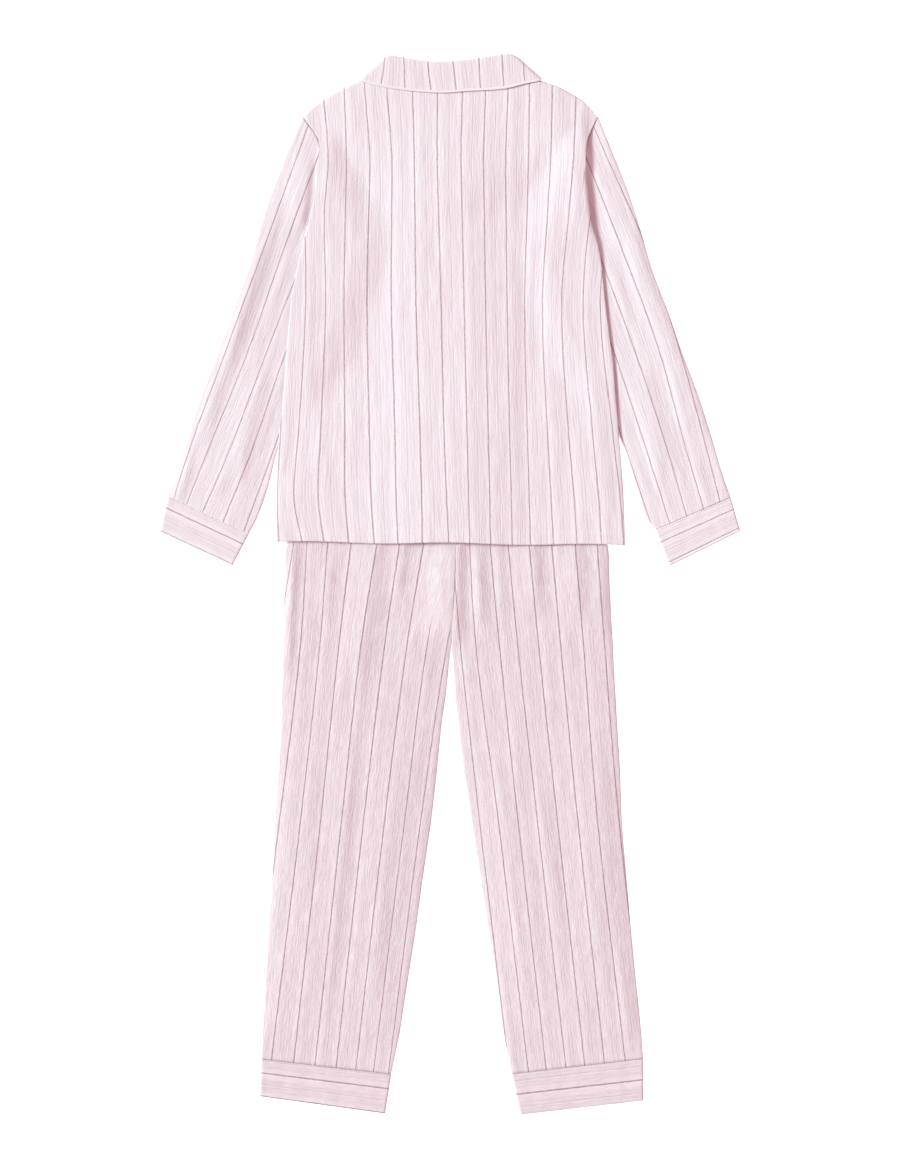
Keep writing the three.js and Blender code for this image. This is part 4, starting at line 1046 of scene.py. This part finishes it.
def band(node, seam, free, flat_size, top_points=61, ribs=0.0):
    """A double band round a flat tube, sewn along both edges. Its stripes run round it, or, on the waistband,
    across it."""
    length = np.hypot(free[0] - seam[0], free[1] - seam[1])
    parts = spread((BAND_GAP / length, 0.12, 0.03), (0.12, 0.88, 0.07), (0.88, 1, 0.03))
    shares = np.linspace(0, 1, top_points)
    rows = [mix(np.array(seam, float), np.array(free, float), part) for part in parts]
    flat = np.stack([inset_row(row, DOUBLE, shares) for row in rows])
    deep = parts[:, None] * length
    sewn = (2.5, length - 4)
    groove = sum(np.exp(-(((deep - at) / 1.2) ** 2)) for at in sewn)
    edge = side_distance(shares, flat)
    waves = ripple(edge / 11 + 0 * deep, deep / 30, len(node)) * 0.18
    upper = (waves - 0.3 * groove + ribs * np.sin(edge * 2 * np.pi / 7)) * smooth(edge, 0, 6)
    points = tube(flat, DOUBLE, BAND_STEP, upper)
    closed = np.concatenate([points, points[:, :1]], 1)
    steps = np.linalg.norm(np.diff(closed, axis=1), axis=2)
    round_it = np.concatenate([0 * deep, np.cumsum(steps, 1)], 1)
    cut = [round_it / REPEAT, deep / REPEAT + 0 * round_it]
    if node in CUFF_STRIPES:
        first, pitch = CUFF_STRIPES[node]
        cut = [(parts[:, None] - first) / pitch + 0 * round_it, round_it / REPEAT]
    shell = wall(f"{node}_cloth", points, np.stack(cut, -1), DOUBLE, ring=True)
    face = face_of(shell, max, 5, 10)
    sewn_rows = [np.argmin(np.abs(deep[:, 0] - at)) for at in sewn]
    dress(shell, node, flat_size, [np.concatenate([face[row], face[row, :1]]) for row in sewn_rows])


def trouser_leg(side_name):
    """A sheet from the back of the inseam over the top, round the outside and back below to its front."""
    sign = SIDES[side_name][0]
    rows = np.array(LEG_ROWS, float)[::-1]
    outer_column, inner_column = LEG_COLUMNS[side_name]
    top_y, low_y = rows[-1, 0], rows[0, 0]
    row_y = spread((top_y, -96, 4.0), (-96, -114, 2.0), (-114, low_y, 4.0))[:, None]
    above = row_y > CROTCH_Y
    inner = np.interp(row_y, rows[:, 0], rows[:, inner_column]) + np.where(above, sign * SEEN_GAP / 2, 0)
    outer = curve(rows[:, 0], rows[:, outer_column])(row_y)
    drop = LEG_SEAM_DROP * ((top_y - row_y) / (top_y - low_y)) ** 2
    across = sign * (outer - inner)
    low = CLOTH / 2

    def at(distance):
        return inner + sign * distance, row_y - drop * (1 - distance / across)

    curl = np.where(above, 0.0, 1.0)
    inset = edge_inset(curl, EDGE_ANGLES[None], SIDE_TURN)
    dropped = reach_of_drop(low, low + LAYER_STEP) * edge_drop(curl, EDGE_ANGLES[None])
    near, far = inset[:, -1:], across - TURN - CLOTH / 2
    distance = np.concatenate([inset[:, :-1], mix(near, far, np.linspace(0, 1, 66)[None])], 1)
    x, y = at(distance)
    count = stripe_count(LEG_STRIPES[side_name], x, y)
    folds = fold_height(TROUSER_FOLDS, x, y)
    room = mix(*UNDER_HEM["room"], smooth(y, *UNDER_HEM["y"]))
    folds = folds / (1 + (folds / room) ** 4) ** 0.25
    free = smooth(far - distance, 0, 10) * np.where(above, 1, smooth(distance, 1, 10))
    seed = 51 if side_name == "left" else 57
    shown = 1 - smooth(y, *UNDER_SHIRT)
    detail = (fold_height(TROUSER_CREASES, x, y) + crinkle(count, y, seed)) * free * shown
    seam_groove = -0.5 * np.exp(-((distance / 2.2) ** 2)) * above
    detail = detail + seam_groove * shown * smooth(y - low_y, 0, 10)
    from_inseam = distance + 90 * smooth(y, CROTCH_Y, CROTCH_Y + 70)
    round_leg = crown(far - distance, 1.6) * crown(from_inseam * 9 / 24, 1.0)
    round_leg = round_leg * (1 - smooth(y, -20, 52)) * smooth(y - low_y, 4, 50)
    top = low + LAYER_STEP + folds + detail + round_leg
    top[:, :3] -= dropped[:, :3]
    under = mix(far, near, np.linspace(0, 1, 34)[None])
    parts = [
        (x, y, top),
        (*at(far + TURN * np.sin(TURN_ANGLES)[None]), mix(low, top[:, -1:], (1 + np.cos(TURN_ANGLES)) / 2)),
        (*at(under), 0 * under + low),
        (*at(inset[:, 2::-1]), low + dropped[:, 2::-1]),
    ]
    points = np.concatenate([np.stack(part, -1) for part in parts], 1)
    counts = carried_on(points, count, False)
    cut = np.stack([counts, points[..., 1] / REPEAT], -1)
    faded = np.zeros(counts.shape)
    if side_name == "left":
        on_top = smooth(count, *FADED_STRIPE["after"]) * smooth(y, *FADED_STRIPE["above"])
        faded[:, :count.shape[1]] = 0.85 * on_top
    shell = wall(f"trouser_leg_{side_name}_cloth", points, cut, CLOTH, faded=faded)
    dress(shell, f"trouser_leg_{side_name}", (515, 880))


def button_mesh():
    """A button with a dished outer face, which is its lower one."""
    radius, thick, sides = BUTTON["diameter"] / 2, BUTTON["thick"], 40
    profile = [  # share of the radius, height
        (0, 0.55), (0.5, 0.55), (0.66, 0.42), (0.76, 0.12), (0.84, 0.0), (0.93, 0.1), (0.985, 0.4), (1, 0.8),
        (1, thick - 0.6), (0.97, thick - 0.25), (0.9, thick - 0.05), (0.8, thick), (0, thick),
    ]
    angles = np.arange(sides) * 2 * np.pi / sides
    points, faces = [(0, 0, profile[0][1]), (0, 0, profile[-1][1])], []
    for share, z in profile[1:-1]:
        points += [(radius * share * np.cos(a), radius * share * np.sin(a), z) for a in angles]
    last = len(points) - sides
    for k in range(sides):
        after = (k + 1) % sides
        faces.append((0, 2 + after, 2 + k))
        for low in range(2, last, sides):
            faces.append((low + k, low + after, low + sides + after, low + sides + k))
        faces.append((1, last + k, last + after))
    mesh = new_mesh("button", points, faces)
    mesh.polygons.foreach_set("use_smooth", np.ones(len(faces), bool))
    return mesh


def hole_cutter(x, y):
    """A pin along Z that cuts one of a button's holes."""
    sides, thick = 20, BUTTON["thick"]
    angles = np.arange(sides) * 2 * np.pi / sides
    circle = np.stack([HOLE["radius"] * np.cos(angles) + x, HOLE["radius"] * np.sin(angles) + y], 1)
    points = [(*p, z) for z in (-thick / 2, thick * 3 / 2) for p in circle]
    faces = [tuple(range(sides))[::-1], tuple(range(sides, 2 * sides))]
    faces += [(k, (k + 1) % sides, sides + (k + 1) % sides, sides + k) for k in range(sides)]
    return link("hole", new_mesh("hole", points, faces))


def shirt_buttons():
    blank = link("button_blank", button_mesh())
    places = (-HOLE["offset"], HOLE["offset"])
    cutters = [hole_cutter(x, y) for x in places for y in places]
    for cutter in cutters:
        change = blank.modifiers.new("holes", "BOOLEAN")
        change.operation = "DIFFERENCE"
        change.object = cutter
        change.solver = "EXACT"
    graph = bpy.context.evaluated_depsgraph_get()
    drilled = bpy.data.meshes.new_from_object(blank.evaluated_get(graph))
    for spare in [blank, *cutters]:
        bpy.data.objects.remove(spare)
    drilled.materials.clear()
    drilled.materials.append(button_look)
    for number, y in enumerate(BUTTON_ROWS, 1):
        node = f"shirt_button_{number}"
        mesh = drilled.copy()
        mesh.transform(Matrix.Translation((0, y * METRE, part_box(node)[0].z)))
        made = link(f"{node}_turned", mesh)
        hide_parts(node)
        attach(made, "root")


shirt_back()
for side in SIDES:
    shirt_front(side)
shirt_collar()
for side in SIDES:
    shirt_sleeve(side)
    band(f"shirt_cuff_{side}", SLEEVES[side][-1], SLEEVE_CUFFS[side], (262, 56))
for side in SIDES:
    trouser_leg(side)
    outer, inner = [LEG_ROWS[-1][column] for column in LEG_COLUMNS[side]]
    leg_seam = (outer, LEG_ROWS[-1][0], inner, LEG_ROWS[-1][0] - LEG_SEAM_DROP)
    band(f"trouser_cuff_{side}", leg_seam, LEG_CUFFS[side], (395, 60), 81)
waist = [(WAISTBAND["right"], y, WAISTBAND["left"], y) for y in (WAISTBAND["bottom"], WAISTBAND["top"])]
band("trouser_waistband", *waist, (715, 34), 151, ribs=0.3)
shirt_buttons()


# Floor, light and camera


def pale_floor():
    half = FLOOR["half"]
    corners = [(-half, -half, 0), (half, -half, 0), (half, half, 0), (-half, half, 0)]
    floor = link("floor", new_mesh("floor", corners, [(0, 1, 2, 3)]))
    floor.location.z = FLOOR["z"] * METRE
    n = Nodes("pale floor")
    n.put(n.shader, {
        "Base Color": (0.5, 0.5, 0.5, 1), "Roughness": 0.9, "Specular IOR Level": 0.1,
        "Emission Color": (1, 1, 1, 1), "Emission Strength": 1.0,
    })
    floor.data.materials.append(n.material)


def studio_light():
    world = bpy.data.worlds.new("studio")
    world.use_nodes = True
    background = world.node_tree.nodes["Background"]
    background.inputs["Color"].default_value = ROOM_LIGHT["colour"]
    background.inputs["Strength"].default_value = ROOM_LIGHT["strength"]
    bpy.context.scene.world = world
    lamp = bpy.data.lights.new("window", "SUN")
    lamp.energy = WINDOW["strength"]
    lamp.color = WINDOW["colour"]
    lamp.angle = np.radians(WINDOW["width"])
    light = link("window", lamp)
    light.rotation_mode = "QUATERNION"
    light.rotation_quaternion = Vector(WINDOW["towards"]).to_track_quat("Z", "Y")


def camera():
    data = bpy.data.cameras.new("camera")
    data.lens, data.sensor_width = LENS, SENSOR
    data.clip_end = 50
    made = link("camera", data)
    made.location = (0, photo_y(PHOTO_CENTRE_Y) * METRE, VIEW_HEIGHT * LENS / SENSOR)
    bpy.context.scene.camera = made
    bpy.context.scene.view_settings.view_transform = "Standard"


pale_floor()
studio_light()
camera()
